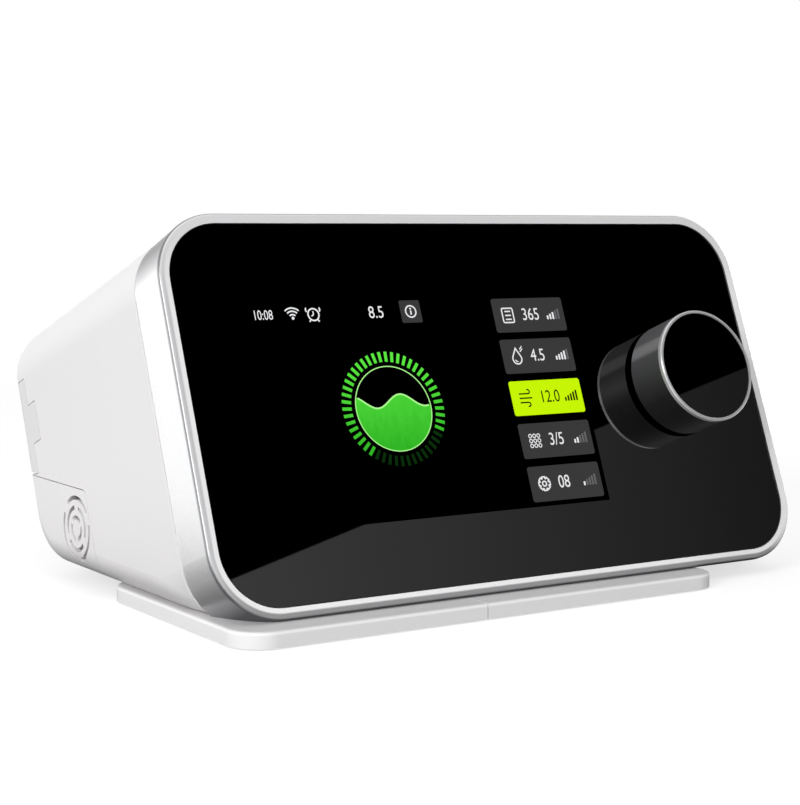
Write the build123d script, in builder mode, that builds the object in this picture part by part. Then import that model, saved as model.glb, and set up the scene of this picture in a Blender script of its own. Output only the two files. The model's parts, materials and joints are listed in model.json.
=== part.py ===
from build123d import *
import os
from math import asin, cos, degrees, radians, sin, tan

os.makedirs("parts", exist_ok=True)

# A bedside breathing-therapy machine with a leaning glass front, a control knob, a blower and a
# heated water tank. Millimetres, +X right as seen from the front, +Y back, +Z up. The origin is
# on the table, under the middle of the glass.



def shrink(span, gap):
    return (span[0] + gap, span[1] - gap)


# Glass and face
lean = 21.0                 # lean of the face from upright, degrees
face_lift = 0.6             # foot plate's top to the ring's lowest edge
glass_width = 200.0
glass_height = 108.0
glass_corner = 16.4
glass_thick = 1.1
glass_bevel = 0.2
left_end = -glass_width/2   # the glass's ends, which the pieces at each side keep to
right_end = glass_width/2

# Gaps and fits
glass_gap = 0.15            # glass edge to ring
seam = 0.3                  # between casing parts
seat_gap = 0.3              # between parts of different bodies that rest on each other
slip = 0.05                 # running fit on the radius
sleeve_gap = 0.1            # soft sleeve over its spigot
hole_gap = 0.3              # hole round a part that passes through it

# Ring round the glass
lip_width = 3.2
lip_rise = 0.4
lip_round = 0.9
ring_depth = 16.0
ring_wall = 2.4
ledge_width = 3.0
ledge_thick = 1.6
gasket_thick = 0.4
lug_reach = 6.0             # snap lugs that hold the ring in the casing
lug_thick = 1.6
lug_width = 14.0
lug_v = 22.0

# Casing behind the ring
shell_step = 0.2
side_taper = 0.4
top_rise = 3.3
corner_taper = 2.9
body_depth = 117.0
floor_z = 4.8               # underside of the casing
wall = 2.2
edge_round = 8.0
heel_round = 20.0

# Display and its carrier
lcd_u = left_end + 77.1
lcd_v = -0.5
lcd_width = 120.6
lcd_height = 75.8
lcd_thick = 3.2
frame_gap = 0.2
frame_wall = 0.8
frame_edge = 6.0
pad_height = 2.0
pad_v = 28.0
chassis_thick = 2.0
ring_boss_radius = 3.8
ring_boss_u = right_end - 2.6
ring_boss_v = glass_height/2 - 18.0
ribbon_width = 30.0
ribbon_thick = 0.4
ribbon_v = -30.0
ribbon_room = 1.3

# Circuit boards
post_length = 6.0
post_radius = 2.5
board_thick = 1.6
board_left = left_end + 10.0
board_right = right_end - 66.0
board_u = (board_left + board_right)/2
board_height = 84.0
board_hole_u = (board_right - board_left)/2 - 6.0
board_hole_v = 36.0
knob_board_width = 38.0
knob_board_height = 50.0
knob_hole_u = 15.0
knob_hole_v = 20.0
tall_part = 4.8             # tallest part on the boards
small_screw = 0.9           # shank radius of the board screws
chassis_screw = 1.2
screw_head_thick = 1.4
screw_bite = 4.5            # how far a board screw goes into its post

# Knob and its encoder
knob_u = right_end - 32.3
knob_v = 1.7
knob_radius = 17.75
knob_lift = 1.6             # glass to the knob's lower edge
knob_height = 16.4
knob_wall = 1.65
knob_top = 2.4
rim_height = 1.4
rim_width = 0.9
disc_gap = 0.1
disc_sink = 0.3
hub_radius = 5.5
hub_lift = 4.0
knob_travel = 1.0
encoder_size = 12.0
encoder_floor = 0.8
encoder_roof = 1.0
cavity_radius = 3.4
bushing_radius = 3.5
bushing_rise = 2.5
shaft_radius = 3.0
collar_thick = 1.1
shaft_tail = 0.2
plunger_radius = 2.6
plunger_thick = 1.5
nut_size = 5.8
nut_thick = 2.0
felt_inner = 8.0
felt_outer = 12.0
felt_thick = 1.2

# Foot plates, pads and screws
base_left = left_end - 1.0
base_right = right_end - 39.0
base_front = -29.5
base_back = 57.0
base_lift = 0.4
base_seam = left_end + 75.0
base_corner_left = 10.0
base_corner_right = 8.0
base_round = 1.0
pad_left_x = (base_left + 5.0, base_seam - 4.0)
pad_right_x = (base_seam + 5.0, base_right - 5.0)
pad_y = (base_front + 5.5, base_back - 4.5)
pad_thick = 1.2
pad_gap = 0.2
foot_screw = 1.5            # shank radius
foot_head = 3.0
foot_cone = 1.5
foot_boss = 3.5
foot_boss_height = 5.0
left_screw_x = (base_left + 13.0, base_seam - 9.0)
right_screw_x = (base_seam + 9.0, base_right - 9.0)
screw_y = (6.0, 48.0)
rear_foot_x = (left_end + 68.0, right_end - 40.0)
rear_foot_y = body_depth - 33.0
rear_foot_radius = 6.0
rear_foot_round = 1.0
rear_stem_radius = 2.5
rear_stem = 4.0

# Filter cover and intake
cover_x = left_end + 10.0
cover_top = 30.7
cover_w = -body_depth + 45.0
cover_corner = 1.5
vent_y = body_depth - 44.0
vent_z = 18.5
vent_rings = (9.4, 6.4, 3.4)
vent_slot = 1.3
vent_arc = 98.0
vent_turn = (95.0, 30.0, 90.0)
vent_rib_inner = 11.4
vent_rib_wall = 1.3
vent_rib_depth = 3.6
filter_x = (left_end + 3.0, left_end + 8.0)
filter_y = (body_depth - 51.0, body_depth - 27.0)
filter_z = (10.4, 27.6)
filter_gap = 0.4
housing_wall = 1.5
plenum_x = (left_end + 16.0, left_end + 60.0)
plenum_y = (35.0, body_depth - 28.0)
plenum_top = 32.0
plenum_wall = 1.8
foam_x = shrink(plenum_x, 8.0)
foam_y = shrink(plenum_y, 5.0)
foam_thick = 9.0

# Blower
blower_x = left_end + 38.0
blower_y = 62.0
scroll_radius = 24.0
scroll_growth = 1.5
duct_width = 17.0
duct_height = 14.0
duct_reach = 24.2
volute_wall = 1.8
port_z = 54.0               # height of the air path through the bay
inlet_radius = 12.0
collar_radius = 13.5
collar_height = 4.0
spigot_outer = 7.8
spigot_inner = 6.5
spigot_length = 8.0
sleeve_wall = 1.4
sleeve_end = 0.6            # sleeve's end to the wall that its spigot stands on
bellows_bulge = 1.5
mount_offset_x = 17.5
mount_offset_y = 11.5
mount_radius = 4.0
impeller_radius = 20.5
impeller_gap = 1.3
impeller_disc = 1.2
blade_count = 9
blade_thick = 1.0
blade_root = 9.0
blade_clear = 2.0
blade_lead = 15.0           # degrees that a blade leans back at its middle, and at its tip
blade_sweep = 38.0
impeller_hub = 4.0
motor_shaft_radius = 1.5
motor_shaft_hole = 3.0
motor_radius = 17.0
motor_height = 15.2
motor_wall = 1.6
bearing_radius = 4.0
bearing_thick = 2.5
bearing_seat = 1.4
stator_inner = 6.2
stator_thick = 6.0
stator_lift = 3.6
magnet_radius = 5.6
magnet_length = 5.0
stator_hole = 2.0
stator_poles = 6

# Air outlet
outlet_x = left_end + 72.0
elbow_radius = 13.0
stub_start = body_depth - 13.0
flange_start = body_depth - 4.4
flange_radius = 15.6
flange_thick = 2.0
cuff_stop = body_depth + 12.6
cuff_stop_radius = 13.4
cone_radius = 11.0          # standard 22 mm hose cone
cone_wall = 1.7
cone_length = 20.0
cone_end = cuff_stop + cone_length

# Water tank bay and heater
stack_depth = 22.0
bay_gap = 1.0
bay_left = left_end + 92.0
bay_mouth = right_end - 0.2
bay_back = body_depth - 19.0
bay_bottom = 15.0
bay_top = 74.0
bay_wall = 1.6
bay_corner = 8.0
port_y = (42.0, body_depth - 35.0)
bay_spigot = 6.0
seal_outer = 9.5
seal_thick = 0.7
leg_radius = 3.0
leg_x = (bay_left + 4.0, bay_mouth - 7.8)
leg_y = (36.0, bay_back - 12.0)
heater_x = (bay_left + 9.0, bay_mouth - 14.8)
heater_y = (45.0, bay_back - 13.0)
heater_corner = 3.0
heater_gap = 0.4
heater_thick = 1.8
heater_travel = 1.2
spring_inset = 10.0
spring_inset_y = 6.0
spring_radius = 4.0
spring_wire = 0.3
spring_turns = 4
sensor_radius = 4.0
sensor_thick = 2.0

# Tank, door and latch
tank_gap = 0.3
tank_left = bay_left + 2.6
tank_right = bay_mouth - 5.8
tank_wall = 1.6
tub_rim = 42.0
tank_seal_thick = 1.2
tank_port_radius = 6.0
tank_tube = 24.0
base_plate_thick = 0.8
base_plate_sink = 0.2
tank_base_gap = 0.2
base_inset_y = 6.0
base_inset_x = 3.0
door_skin = 2.1
door_wall = 1.6
latch_y = bay_back - 31.0
latch_z = 64.0
latch_width = 24.0
latch_height = 12.0
latch_corner = 3.0
latch_flange = 2.0
latch_flange_thick = 1.2
latch_tongue = 10.0
latch_travel = 2.5
catch_wall = 1.0
grip_y = (bay_back - 44.0, bay_back - 18.0)
grip_z = (42.0, 54.0)
grip_depth = 6.5
grip_wall = 1.4
grip_corner = 3.0

# Connectors on the back and the card behind its flap
power_u = left_end + 72.0
power_drop = 26.0           # power inlet below the air path
power_size = 11.0
power_depth = 13.0
power_flange = 14.0
power_flange_thick = 1.5
barrel_radius = 3.2
barrel_depth = 9.5
barrel_pin = 1.0
barrel_pin_sink = 1.0
flap_u = left_end + 8.0
flap_w = -body_depth + 11.5
flap_v = (12.0, 42.5)
flap_tab_w = flap_w + 6.2
flap_tab_v = (21.3, 33.5)
flap_tab_u = left_end + 4.0
flap_tab_corner = 1.5
flap_drop = 1.1             # cover's top edge to the flap, which drops a little as it opens
flap_thick = 1.6
flap_gap = 0.25
port_board_u = (left_end + 2.0, left_end + 45.0)
port_board_v = (10.0, 44.0)
port_board_post = 1.2
port_post_u = left_end + 40.0
port_post_v = (14.0, 40.0)
port_post_radius = 2.0
socket_u = (left_end + 4.0, left_end + 33.0)
socket_v = (13.5, 40.5)
socket_thick = 5.0
card_left = left_end - 0.2
card_length = 31.2
card_v = (15.0, 39.0)
card_thick = 2.1
card_gap = 0.2
card_travel = 0.7

# Leads inside the casing
lead_radius = 1.0
lead_z = 70.0
lead_floor = 11.0
lead_straight = 9.0
motor_lead_v = 22.0
motor_lead_straight = 6.0

# Levels along the face's normal, from the glass backwards
sin_l = sin(radians(lean))
cos_l = cos(radians(lean))
tan_l = tan(radians(lean))
ring_half = glass_width/2 + lip_width
ring_top = glass_height/2 + lip_width
face_height = floor_z + face_lift + ring_top*cos_l
ring_corner = glass_corner + lip_width
glass_back = -glass_thick
ledge_front = glass_back - gasket_thick
ledge_back = ledge_front - ledge_thick
lcd_back = glass_back - lcd_thick
frame_back = lcd_back - frame_wall
chassis_front = frame_back - pad_height
chassis_back = chassis_front - chassis_thick
board_front = chassis_back - post_length
board_back = board_front - board_thick
inner_back = -body_depth + wall
power_v = (port_z - power_drop - face_height + body_depth*sin_l)/cos_l


def spot(u, v, w):
    # a plane on the face: u to the right, v up the slope, w out along the face's normal
    y = v*sin_l - w*cos_l
    z = face_height + v*cos_l + w*sin_l
    return Plane(origin=(u, y, z), x_dir=(1, 0, 0), z_dir=(0, -cos_l, sin_l))


def face(w):
    return spot(0, 0, w)


def depth_y(w, z):
    # where the plane at level w crosses the height z
    return (z - face_height)*tan_l - w/cos_l


def block(plane, across, up, along, corner=0.0):
    # a block between two values on each axis of a plane
    width = across[1] - across[0]
    height = up[1] - up[0]
    with BuildPart() as piece:
        with BuildSketch(plane.offset(along[0])):
            with Locations(((across[0] + across[1])/2, (up[0] + up[1])/2)):
                if corner:
                    RectangleRounded(width, height, corner)
                else:
                    Rectangle(width, height)
        extrude(amount=along[1] - along[0])
    return piece.part


def rod(plane, centre, radius, along, bore=0.0):
    # a round bar or tube between two values along a plane's normal
    with BuildPart() as piece:
        with BuildSketch(plane.offset(along[0])):
            with Locations(centre):
                Circle(radius)
                if bore:
                    Circle(bore, mode=Mode.SUBTRACT)
        extrude(amount=along[1] - along[0])
    return piece.part


def turned(plane, outline):
    # a turned piece round a plane's normal, from points given as radius and distance along it
    side = Plane(origin=plane.origin, x_dir=plane.x_dir, z_dir=-plane.y_dir)
    with BuildPart() as piece:
        with BuildSketch(side):
            with BuildLine():
                Polyline(*outline, close=True)
            make_face()
        revolve(axis=Axis(plane.origin, plane.z_dir))
    return piece.part


def above(height):
    # everything over a height, to trim what would go through the floor
    wide = (-body_depth*2, body_depth*2)
    return block(Plane.XY, wide, (-body_depth, body_depth*2), (height, height + body_depth))


def shell_form(inset, front):
    # the casing's outer form from the level front to the back, drawn in by an inset
    run = body_depth - ring_depth
    with BuildPart() as form:
        for w in (front, -body_depth + inset):
            share = (-w - ring_depth)/run
            half = ring_half + shell_step - side_taper*share - inset
            top = ring_top - shell_step + top_rise*share - inset
            low = ring_top - shell_step - inset
            corner = ring_corner - shell_step - corner_taper*share - inset
            with BuildSketch(face(w)):
                with Locations((0, (top - low)/2)):
                    RectangleRounded(2*half, top + low, corner)
        loft()
        floor = floor_z + inset
        high = face_height + ring_top*2
        front_y = depth_y(ring_depth, floor)
        heel_y = depth_y(-body_depth + inset, floor)
        with BuildSketch(Plane.YZ) as side:
            with BuildLine():
                Polyline(
                    (front_y, floor),
                    (heel_y, floor),
                    (depth_y(-body_depth + inset, high), high),
                    (depth_y(ring_depth, high), high),
                    close=True,
                )
            make_face()
            fillet(side.vertices().sort_by_distance((heel_y, floor, 0))[0], heel_round - inset)
        extrude(amount=ring_half*1.5, both=True, mode=Mode.INTERSECT)
        back = form.faces().sort_by(Axis((0, 0, 0), face(0).z_dir))[0]
        bottom = form.faces().filter_by(Axis.Z).sort_by(Axis.Z)[0]
        rounds = form.faces().filter_by(GeomType.CYLINDER)
        heel = rounds.sort_by_distance((0, heel_y, floor))[0]
        rim = back.edges().filter_by(lambda e: abs(e.tangent_at(0.5).X) < 0.9 or e.center().Z > face_height)
        ends = (bottom.edges() + heel.edges()).filter_by(lambda e: abs(e.tangent_at(0.5).X) < 0.7)
        fillet(list(rim) + list(ends), edge_round - inset)
    return form.part


# Glass, ring and gasket

with BuildPart() as front_glass:
    with BuildSketch(face(glass_back)):
        RectangleRounded(glass_width, glass_height, glass_corner)
        with Locations((knob_u, knob_v)):
            Circle(bushing_radius + hole_gap, mode=Mode.SUBTRACT)
    extrude(amount=glass_thick)
    chamfer(front_glass.faces().sort_by(Axis((0, 0, 0), face(0).z_dir))[-1].outer_wire().edges(), glass_bevel)
front_glass.part.label = "front_glass"
export_step(front_glass.part, "parts/front_glass.step")

ring_bosses = [(u, v) for u in (-ring_boss_u, ring_boss_u) for v in (-ring_boss_v, ring_boss_v)]
cavity_half = ring_half - ring_wall
cavity_top = ring_top - ring_wall
cavity_floor = floor_z + ring_wall

with BuildPart() as ring_cavity:
    with BuildSketch(face(ledge_back)):
        RectangleRounded(2*cavity_half, 2*cavity_top, ring_corner - ring_wall)
    extrude(amount=-ring_depth)
    add(above(cavity_floor), mode=Mode.INTERSECT)

with BuildPart() as bezel_ring:
    with BuildSketch(face(lip_rise)):
        RectangleRounded(2*ring_half, 2*ring_top, ring_corner)
    extrude(amount=-ring_depth - lip_rise)
    fillet(bezel_ring.faces().sort_by(Axis((0, 0, 0), face(0).z_dir))[-1].edges(), lip_round)
    with BuildSketch(face(lip_rise)):
        RectangleRounded(glass_width + 2*glass_gap, glass_height + 2*glass_gap, glass_corner + glass_gap)
    extrude(amount=ledge_front - lip_rise, mode=Mode.SUBTRACT)
    with BuildSketch(face(lip_rise)):
        ledge_corner = glass_corner - ledge_width
        RectangleRounded(glass_width - 2*ledge_width, glass_height - 2*ledge_width, ledge_corner)
    extrude(amount=ledge_back - lip_rise, mode=Mode.SUBTRACT)
    add(ring_cavity.part, mode=Mode.SUBTRACT)
    with BuildSketch(face(ledge_back + ledge_thick/2)):
        with Locations(*ring_bosses):
            Circle(ring_boss_radius)
    extrude(amount=chassis_front - ledge_back - ledge_thick/2)
    with BuildSketch(face(chassis_front)):
        with Locations(*ring_bosses):
            Circle(chassis_screw + slip)
    extrude(amount=-chassis_front + ledge_back - ledge_thick/4, mode=Mode.SUBTRACT)
    for side in (-1, 1):
        lug = sorted((side*(cavity_half + slip), side*(cavity_half - lug_thick)))
        for v in (-lug_v, lug_v):
            span = (v - lug_width/2, v + lug_width/2)
            add(block(face(0), lug, span, (-ring_depth - lug_reach, -ring_depth + lug_reach)))
    add(above(floor_z), mode=Mode.INTERSECT)
bezel_ring.part.label = "bezel_ring"
export_step(bezel_ring.part, "parts/bezel_ring.step")

with BuildPart() as bezel_gasket:
    with BuildSketch(face(ledge_front)):
        RectangleRounded(glass_width, glass_height, glass_corner)
        inner = ledge_width - glass_gap
        RectangleRounded(
            glass_width - 2*inner,
            glass_height - 2*inner,
            glass_corner - inner,
            mode=Mode.SUBTRACT,
        )
    extrude(amount=gasket_thick)
bezel_gasket.part.label = "bezel_gasket"
export_step(bezel_gasket.part, "parts/bezel_gasket.step")

# Display, its frame, the carrier plate and the boards

lcd_across = (lcd_u - lcd_width/2, lcd_u + lcd_width/2)
lcd_up = (lcd_v - lcd_height/2, lcd_v + lcd_height/2)

with BuildPart() as lcd_panel:
    add(block(face(0), lcd_across, lcd_up, (lcd_back, glass_back)))
lcd_panel.part.label = "lcd_panel"
export_step(lcd_panel.part, "parts/lcd_panel.step")

with BuildPart() as lcd_frame:
    outer = frame_gap + frame_wall
    add(block(face(0), shrink(lcd_across, -outer), shrink(lcd_up, -outer), (frame_back, glass_back)))
    add(
        block(face(0), shrink(lcd_across, -frame_gap), shrink(lcd_up, -frame_gap), (lcd_back, glass_back)),
        mode=Mode.SUBTRACT,
    )
    add(
        block(face(0), shrink(lcd_across, frame_edge), shrink(lcd_up, frame_edge), (frame_back, lcd_back)),
        mode=Mode.SUBTRACT,
    )
lcd_frame.part.label = "lcd_frame"
export_step(lcd_frame.part, "parts/lcd_frame.step")

board_posts = [(board_u + a*board_hole_u, b*board_hole_v) for a in (-1, 1) for b in (-1, 1)]
knob_posts = [(knob_u + a*knob_hole_u, knob_v + b*knob_hole_v) for a in (-1, 1) for b in (-1, 1)]
pads = [(lcd_u + a*(lcd_width/2 - frame_edge/2), lcd_v + b*pad_v) for a in (-1, 1) for b in (-1, 1)]
ribbon_u = (lcd_u - ribbon_width/2, lcd_u + ribbon_width/2)

with BuildPart() as front_chassis:
    with BuildSketch(face(chassis_back)):
        RectangleRounded(
            2*cavity_half - 2*seat_gap,
            2*cavity_top - 2*seat_gap,
            ring_corner - ring_wall - seat_gap,
        )
        with Locations(*ring_bosses):
            Circle(chassis_screw + slip, mode=Mode.SUBTRACT)
        with Locations((knob_u, knob_v)):
            Circle(bushing_radius + hole_gap, mode=Mode.SUBTRACT)
        with Locations(((ribbon_u[0] + ribbon_u[1])/2, ribbon_v)):
            Rectangle(ribbon_width + 2*ribbon_room, ribbon_thick + 2*ribbon_room, mode=Mode.SUBTRACT)
        with Locations((board_u, lcd_v)):
            RectangleRounded(board_hole_u, board_hole_v, post_radius, mode=Mode.SUBTRACT)
    extrude(amount=chassis_thick)
    with BuildSketch(face(chassis_front)):
        with Locations(*pads):
            Circle(frame_edge/2)
    extrude(amount=pad_height)
    with BuildSketch(face(chassis_back)):
        with Locations(*board_posts, *knob_posts):
            Circle(post_radius)
    extrude(amount=-post_length)
    with BuildSketch(face(board_front)):
        with Locations(*board_posts, *knob_posts):
            Circle(small_screw + slip)
    extrude(amount=post_length, mode=Mode.SUBTRACT)
    add(above(cavity_floor + seat_gap), mode=Mode.INTERSECT)
front_chassis.part.label = "front_chassis"
export_step(front_chassis.part, "parts/front_chassis.step")

with BuildPart() as front_screws:
    with BuildSketch(face(chassis_back)):
        with Locations(*ring_bosses):
            Circle(2*chassis_screw)
    extrude(amount=-screw_head_thick)
    with BuildSketch(face(chassis_back)):
        with Locations(*ring_bosses):
            Circle(chassis_screw)
    extrude(amount=chassis_thick - chassis_front + ledge_back - ledge_thick/2)
    with BuildSketch(face(board_back)):
        with Locations(*board_posts, *knob_posts):
            Circle(2*small_screw)
    extrude(amount=-screw_head_thick)
    with BuildSketch(face(board_back)):
        with Locations(*board_posts, *knob_posts):
            Circle(small_screw)
    extrude(amount=board_thick + screw_bite)
front_screws.part.label = "front_screws"
export_step(front_screws.part, "parts/front_screws.step")

with BuildPart() as display_ribbon:
    across = (ribbon_v - ribbon_thick/2, ribbon_v + ribbon_thick/2)
    add(block(face(0), ribbon_u, across, (board_front, lcd_back)))
display_ribbon.part.label = "display_ribbon"
export_step(display_ribbon.part, "parts/display_ribbon.step")

with BuildPart() as main_board:
    with BuildSketch(face(board_back)):
        with Locations((board_u, 0)):
            RectangleRounded(board_right - board_left, board_height, post_radius)
        with Locations(*board_posts):
            Circle(small_screw + slip, mode=Mode.SUBTRACT)
    extrude(amount=board_thick)
main_board.part.label = "main_board"
export_step(main_board.part, "parts/main_board.step")

chip_spots = ((-12.0, 6.0, 16.0), (14.0, 24.0, 10.0), (38.0, -14.0, 12.0), (-46.0, -20.0, 9.0))
chip_thick = 1.5
can_spots = ((26.0, 4.0), (36.0, 4.0), (46.0, 4.0), (46.0, 16.0))
can_radius = 4.0
plug_spots = ((-44.0, 26.0), (-22.0, -34.0), (44.0, 30.0))
plug_size = (12.0, 5.0)
plug_thick = 4.0

with BuildPart() as board_parts:
    board_plane = spot(board_u, 0, board_back)
    for u, v, size in chip_spots:
        add(block(board_plane, (u - size/2, u + size/2), (v - size/2, v + size/2), (-chip_thick, 0)))
    for u, v in plug_spots:
        across = (u - plug_size[0]/2, u + plug_size[0]/2)
        up = (v - plug_size[1]/2, v + plug_size[1]/2)
        add(block(board_plane, across, up, (-plug_thick, 0)))
    with BuildSketch(board_plane):
        with Locations(*can_spots):
            Circle(can_radius)
    extrude(amount=-tall_part)
board_parts.part.label = "board_parts"
export_step(board_parts.part, "parts/board_parts.step")

with BuildPart() as knob_board:
    with BuildSketch(face(board_back)):
        with Locations((knob_u, knob_v)):
            RectangleRounded(knob_board_width, knob_board_height, post_radius)
        with Locations(*knob_posts):
            Circle(small_screw + slip, mode=Mode.SUBTRACT)
    extrude(amount=board_thick)
knob_board.part.label = "knob_board"
export_step(knob_board.part, "parts/knob_board.step")

# Knob: a push-and-turn encoder with the knob pressed on its shaft

knob_axis = spot(knob_u, knob_v, 0)
cavity_low = board_front + encoder_floor
cavity_high = chassis_back - encoder_roof
collar_top = cavity_high - disc_gap
shaft_low = collar_top - collar_thick - shaft_tail
knob_ceiling = knob_height - rim_height - knob_top

with BuildPart() as encoder_body:
    half = (-encoder_size/2, encoder_size/2)
    add(block(knob_axis, half, half, (board_front, chassis_back)))
    add(rod(knob_axis, (0, 0), bushing_radius, (chassis_back, bushing_rise)))
    add(rod(knob_axis, (0, 0), cavity_radius, (cavity_low, cavity_high)), mode=Mode.SUBTRACT)
    add(rod(knob_axis, (0, 0), shaft_radius + slip, (cavity_high, bushing_rise)), mode=Mode.SUBTRACT)
encoder_body.part.label = "encoder_body"
export_step(encoder_body.part, "parts/encoder_body.step")

with BuildPart() as encoder_nut:
    with BuildSketch(knob_axis.offset(chassis_front)):
        RegularPolygon(nut_size, 6)
        Circle(bushing_radius + slip, mode=Mode.SUBTRACT)
    extrude(amount=nut_thick)
encoder_nut.part.label = "encoder_nut"
export_step(encoder_nut.part, "parts/encoder_nut.step")

with BuildPart() as encoder_shaft:
    add(rod(knob_axis, (0, 0), shaft_radius, (shaft_low, knob_ceiling)))
    add(rod(knob_axis, (0, 0), cavity_radius - disc_gap, (collar_top - collar_thick, collar_top)))
encoder_shaft.part.label = "encoder_shaft"
export_step(encoder_shaft.part, "parts/encoder_shaft.step")

with BuildPart() as encoder_plunger:
    plunger_low = cavity_low + knob_travel + disc_gap
    add(rod(knob_axis, (0, 0), plunger_radius, (plunger_low, plunger_low + plunger_thick)))
encoder_plunger.part.label = "encoder_plunger"
export_step(encoder_plunger.part, "parts/encoder_plunger.step")

with BuildPart() as knob_body:
    knob_bore = shaft_radius + slip/2
    knob_flat = knob_height - rim_height
    add(
        turned(
            knob_axis,
            [
                (knob_bore, hub_lift),
                (hub_radius, hub_lift),
                (hub_radius, knob_ceiling),
                (knob_radius - knob_wall, knob_ceiling),
                (knob_radius - knob_wall, knob_lift),
                (knob_radius, knob_lift),
                (knob_radius, knob_flat),
                (0, knob_flat),
                (0, knob_ceiling),
                (knob_bore, knob_ceiling),
            ],
        )
    )
knob_body.part.label = "knob_body"
export_step(knob_body.part, "parts/knob_body.step")

with BuildPart() as knob_rim:
    edge = rim_width/3
    add(
        turned(
            knob_axis,
            [
                (knob_radius - rim_width, knob_flat),
                (knob_radius, knob_flat),
                (knob_radius, knob_height - edge),
                (knob_radius - edge, knob_height),
                (knob_radius - rim_width, knob_height),
            ],
        )
    )
knob_rim.part.label = "knob_rim"
export_step(knob_rim.part, "parts/knob_rim.step")

with BuildPart() as knob_disc:
    disc_radius = knob_radius - rim_width - disc_gap
    add(rod(knob_axis, (0, 0), disc_radius, (knob_flat, knob_height - disc_sink)))
knob_disc.part.label = "knob_disc"
export_step(knob_disc.part, "parts/knob_disc.step")

with BuildPart() as knob_felt:
    add(rod(knob_axis, (0, 0), felt_outer, (0, felt_thick), bore=felt_inner))
knob_felt.part.label = "knob_felt"
export_step(knob_felt.part, "parts/knob_felt.step")

# Foot plates with their pads, and the rear feet


def base_plate(across, corner, pad_x, screw_x):
    # one half of the foot plate: outline, rounded top edge, pad recess and countersunk holes
    holes = [(x, y) for x in screw_x for y in screw_y]
    middle = (base_front + base_back)/2
    with BuildPart() as plate:
        with BuildSketch(Plane.XY.offset(base_lift)):
            with Locations(((base_left + base_right)/2, middle)):
                RectangleRounded(base_right - base_left, base_back - base_front, corner)
            with Locations(((across[0] + across[1])/2, middle)):
                Rectangle(across[1] - across[0], base_back - base_front, mode=Mode.INTERSECT)
        extrude(amount=floor_z - base_lift)
        top = plate.faces().sort_by(Axis.Z)[-1]
        fillet(top.edges().filter_by(lambda e: abs(e.center().X - base_seam) > 2*seam), base_round)
        recess = block(Plane.XY, shrink(pad_x, -pad_gap), shrink(pad_y, -pad_gap), (0, pad_thick), corner/2)
        add(recess, mode=Mode.SUBTRACT)
        with BuildSketch(Plane.XY.offset(pad_thick)):
            with Locations(*holes):
                Circle(foot_screw + slip)
        extrude(amount=floor_z, mode=Mode.SUBTRACT)
        for x, y in holes:
            with Locations((x, y, pad_thick)):
                Cone(
                    foot_head + slip,
                    foot_screw + slip,
                    foot_cone,
                    align=(Align.CENTER, Align.CENTER, Align.MIN),
                    mode=Mode.SUBTRACT,
                )
    return plate.part


with BuildPart() as base_plate_left:
    add(base_plate((base_left, base_seam - seam/2), base_corner_left, pad_left_x, left_screw_x))
base_plate_left.part.label = "base_plate_left"
export_step(base_plate_left.part, "parts/base_plate_left.step")

with BuildPart() as base_plate_right:
    add(base_plate((base_seam + seam/2, base_right), base_corner_right, pad_right_x, right_screw_x))
base_plate_right.part.label = "base_plate_right"
export_step(base_plate_right.part, "parts/base_plate_right.step")

with BuildPart() as grip_pads:
    add(block(Plane.XY, pad_left_x, pad_y, (0, pad_thick), base_corner_left/2))
    add(block(Plane.XY, pad_right_x, pad_y, (0, pad_thick), base_corner_right/2))
grip_pads.part.label = "grip_pads"
export_step(grip_pads.part, "parts/grip_pads.step")

screw_points = [(x, y) for x in left_screw_x + right_screw_x for y in screw_y]
rear_foot_points = [(x, rear_foot_y) for x in rear_foot_x]
casing_floor = floor_z + wall

with BuildPart() as base_screws:
    for x, y in screw_points:
        with Locations((x, y, pad_thick)):
            Cone(foot_head, foot_screw, foot_cone, align=(Align.CENTER, Align.CENTER, Align.MIN))
    with BuildSketch(Plane.XY.offset(pad_thick)):
        with Locations(*screw_points):
            Circle(foot_screw)
    extrude(amount=casing_floor + foot_boss_height - pad_thick - foot_screw)
base_screws.part.label = "base_screws"
export_step(base_screws.part, "parts/base_screws.step")

with BuildPart() as rear_feet:
    with BuildSketch(Plane.XY):
        with Locations(*rear_foot_points):
            Circle(rear_foot_radius)
    extrude(amount=floor_z)
    fillet(rear_feet.faces().filter_by(Axis.Z).group_by(Axis.Z)[0].edges(), rear_foot_round)
    with BuildSketch(Plane.XY.offset(floor_z)):
        with Locations(*rear_foot_points):
            Circle(rear_stem_radius)
    extrude(amount=rear_stem)
rear_feet.part.label = "rear_feet"
export_step(rear_feet.part, "parts/rear_feet.step")

# Casing, filter cover and card flap

bay_front = depth_y(-stack_depth, bay_top) + bay_gap
bay_y = (bay_front, bay_back)
bay_z = (bay_bottom, bay_top)
bay_inner_y = shrink(bay_y, bay_wall)
bay_inner_z = shrink(bay_z, bay_wall)
mouth_corner = bay_corner - bay_wall
half_back = ring_half + shell_step - side_taper


def cover_region(grow):
    # the corner at the left, back and bottom that the filter cover fills
    low = -floor_z
    high = cover_top + grow
    far = body_depth*2
    with BuildPart() as region:
        with BuildSketch(Plane.YZ.offset(cover_x + grow)) as outline:
            with BuildLine():
                Polyline(
                    (depth_y(cover_w + grow, low), low),
                    (depth_y(cover_w + grow, high), high),
                    (far, high),
                    (far, low),
                    close=True,
                )
            make_face()
            corner = outline.vertices().sort_by_distance((depth_y(cover_w + grow, high), high, 0))[0]
            fillet(corner, cover_corner + grow)
        extrude(amount=-body_depth)
    return region.part


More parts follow.
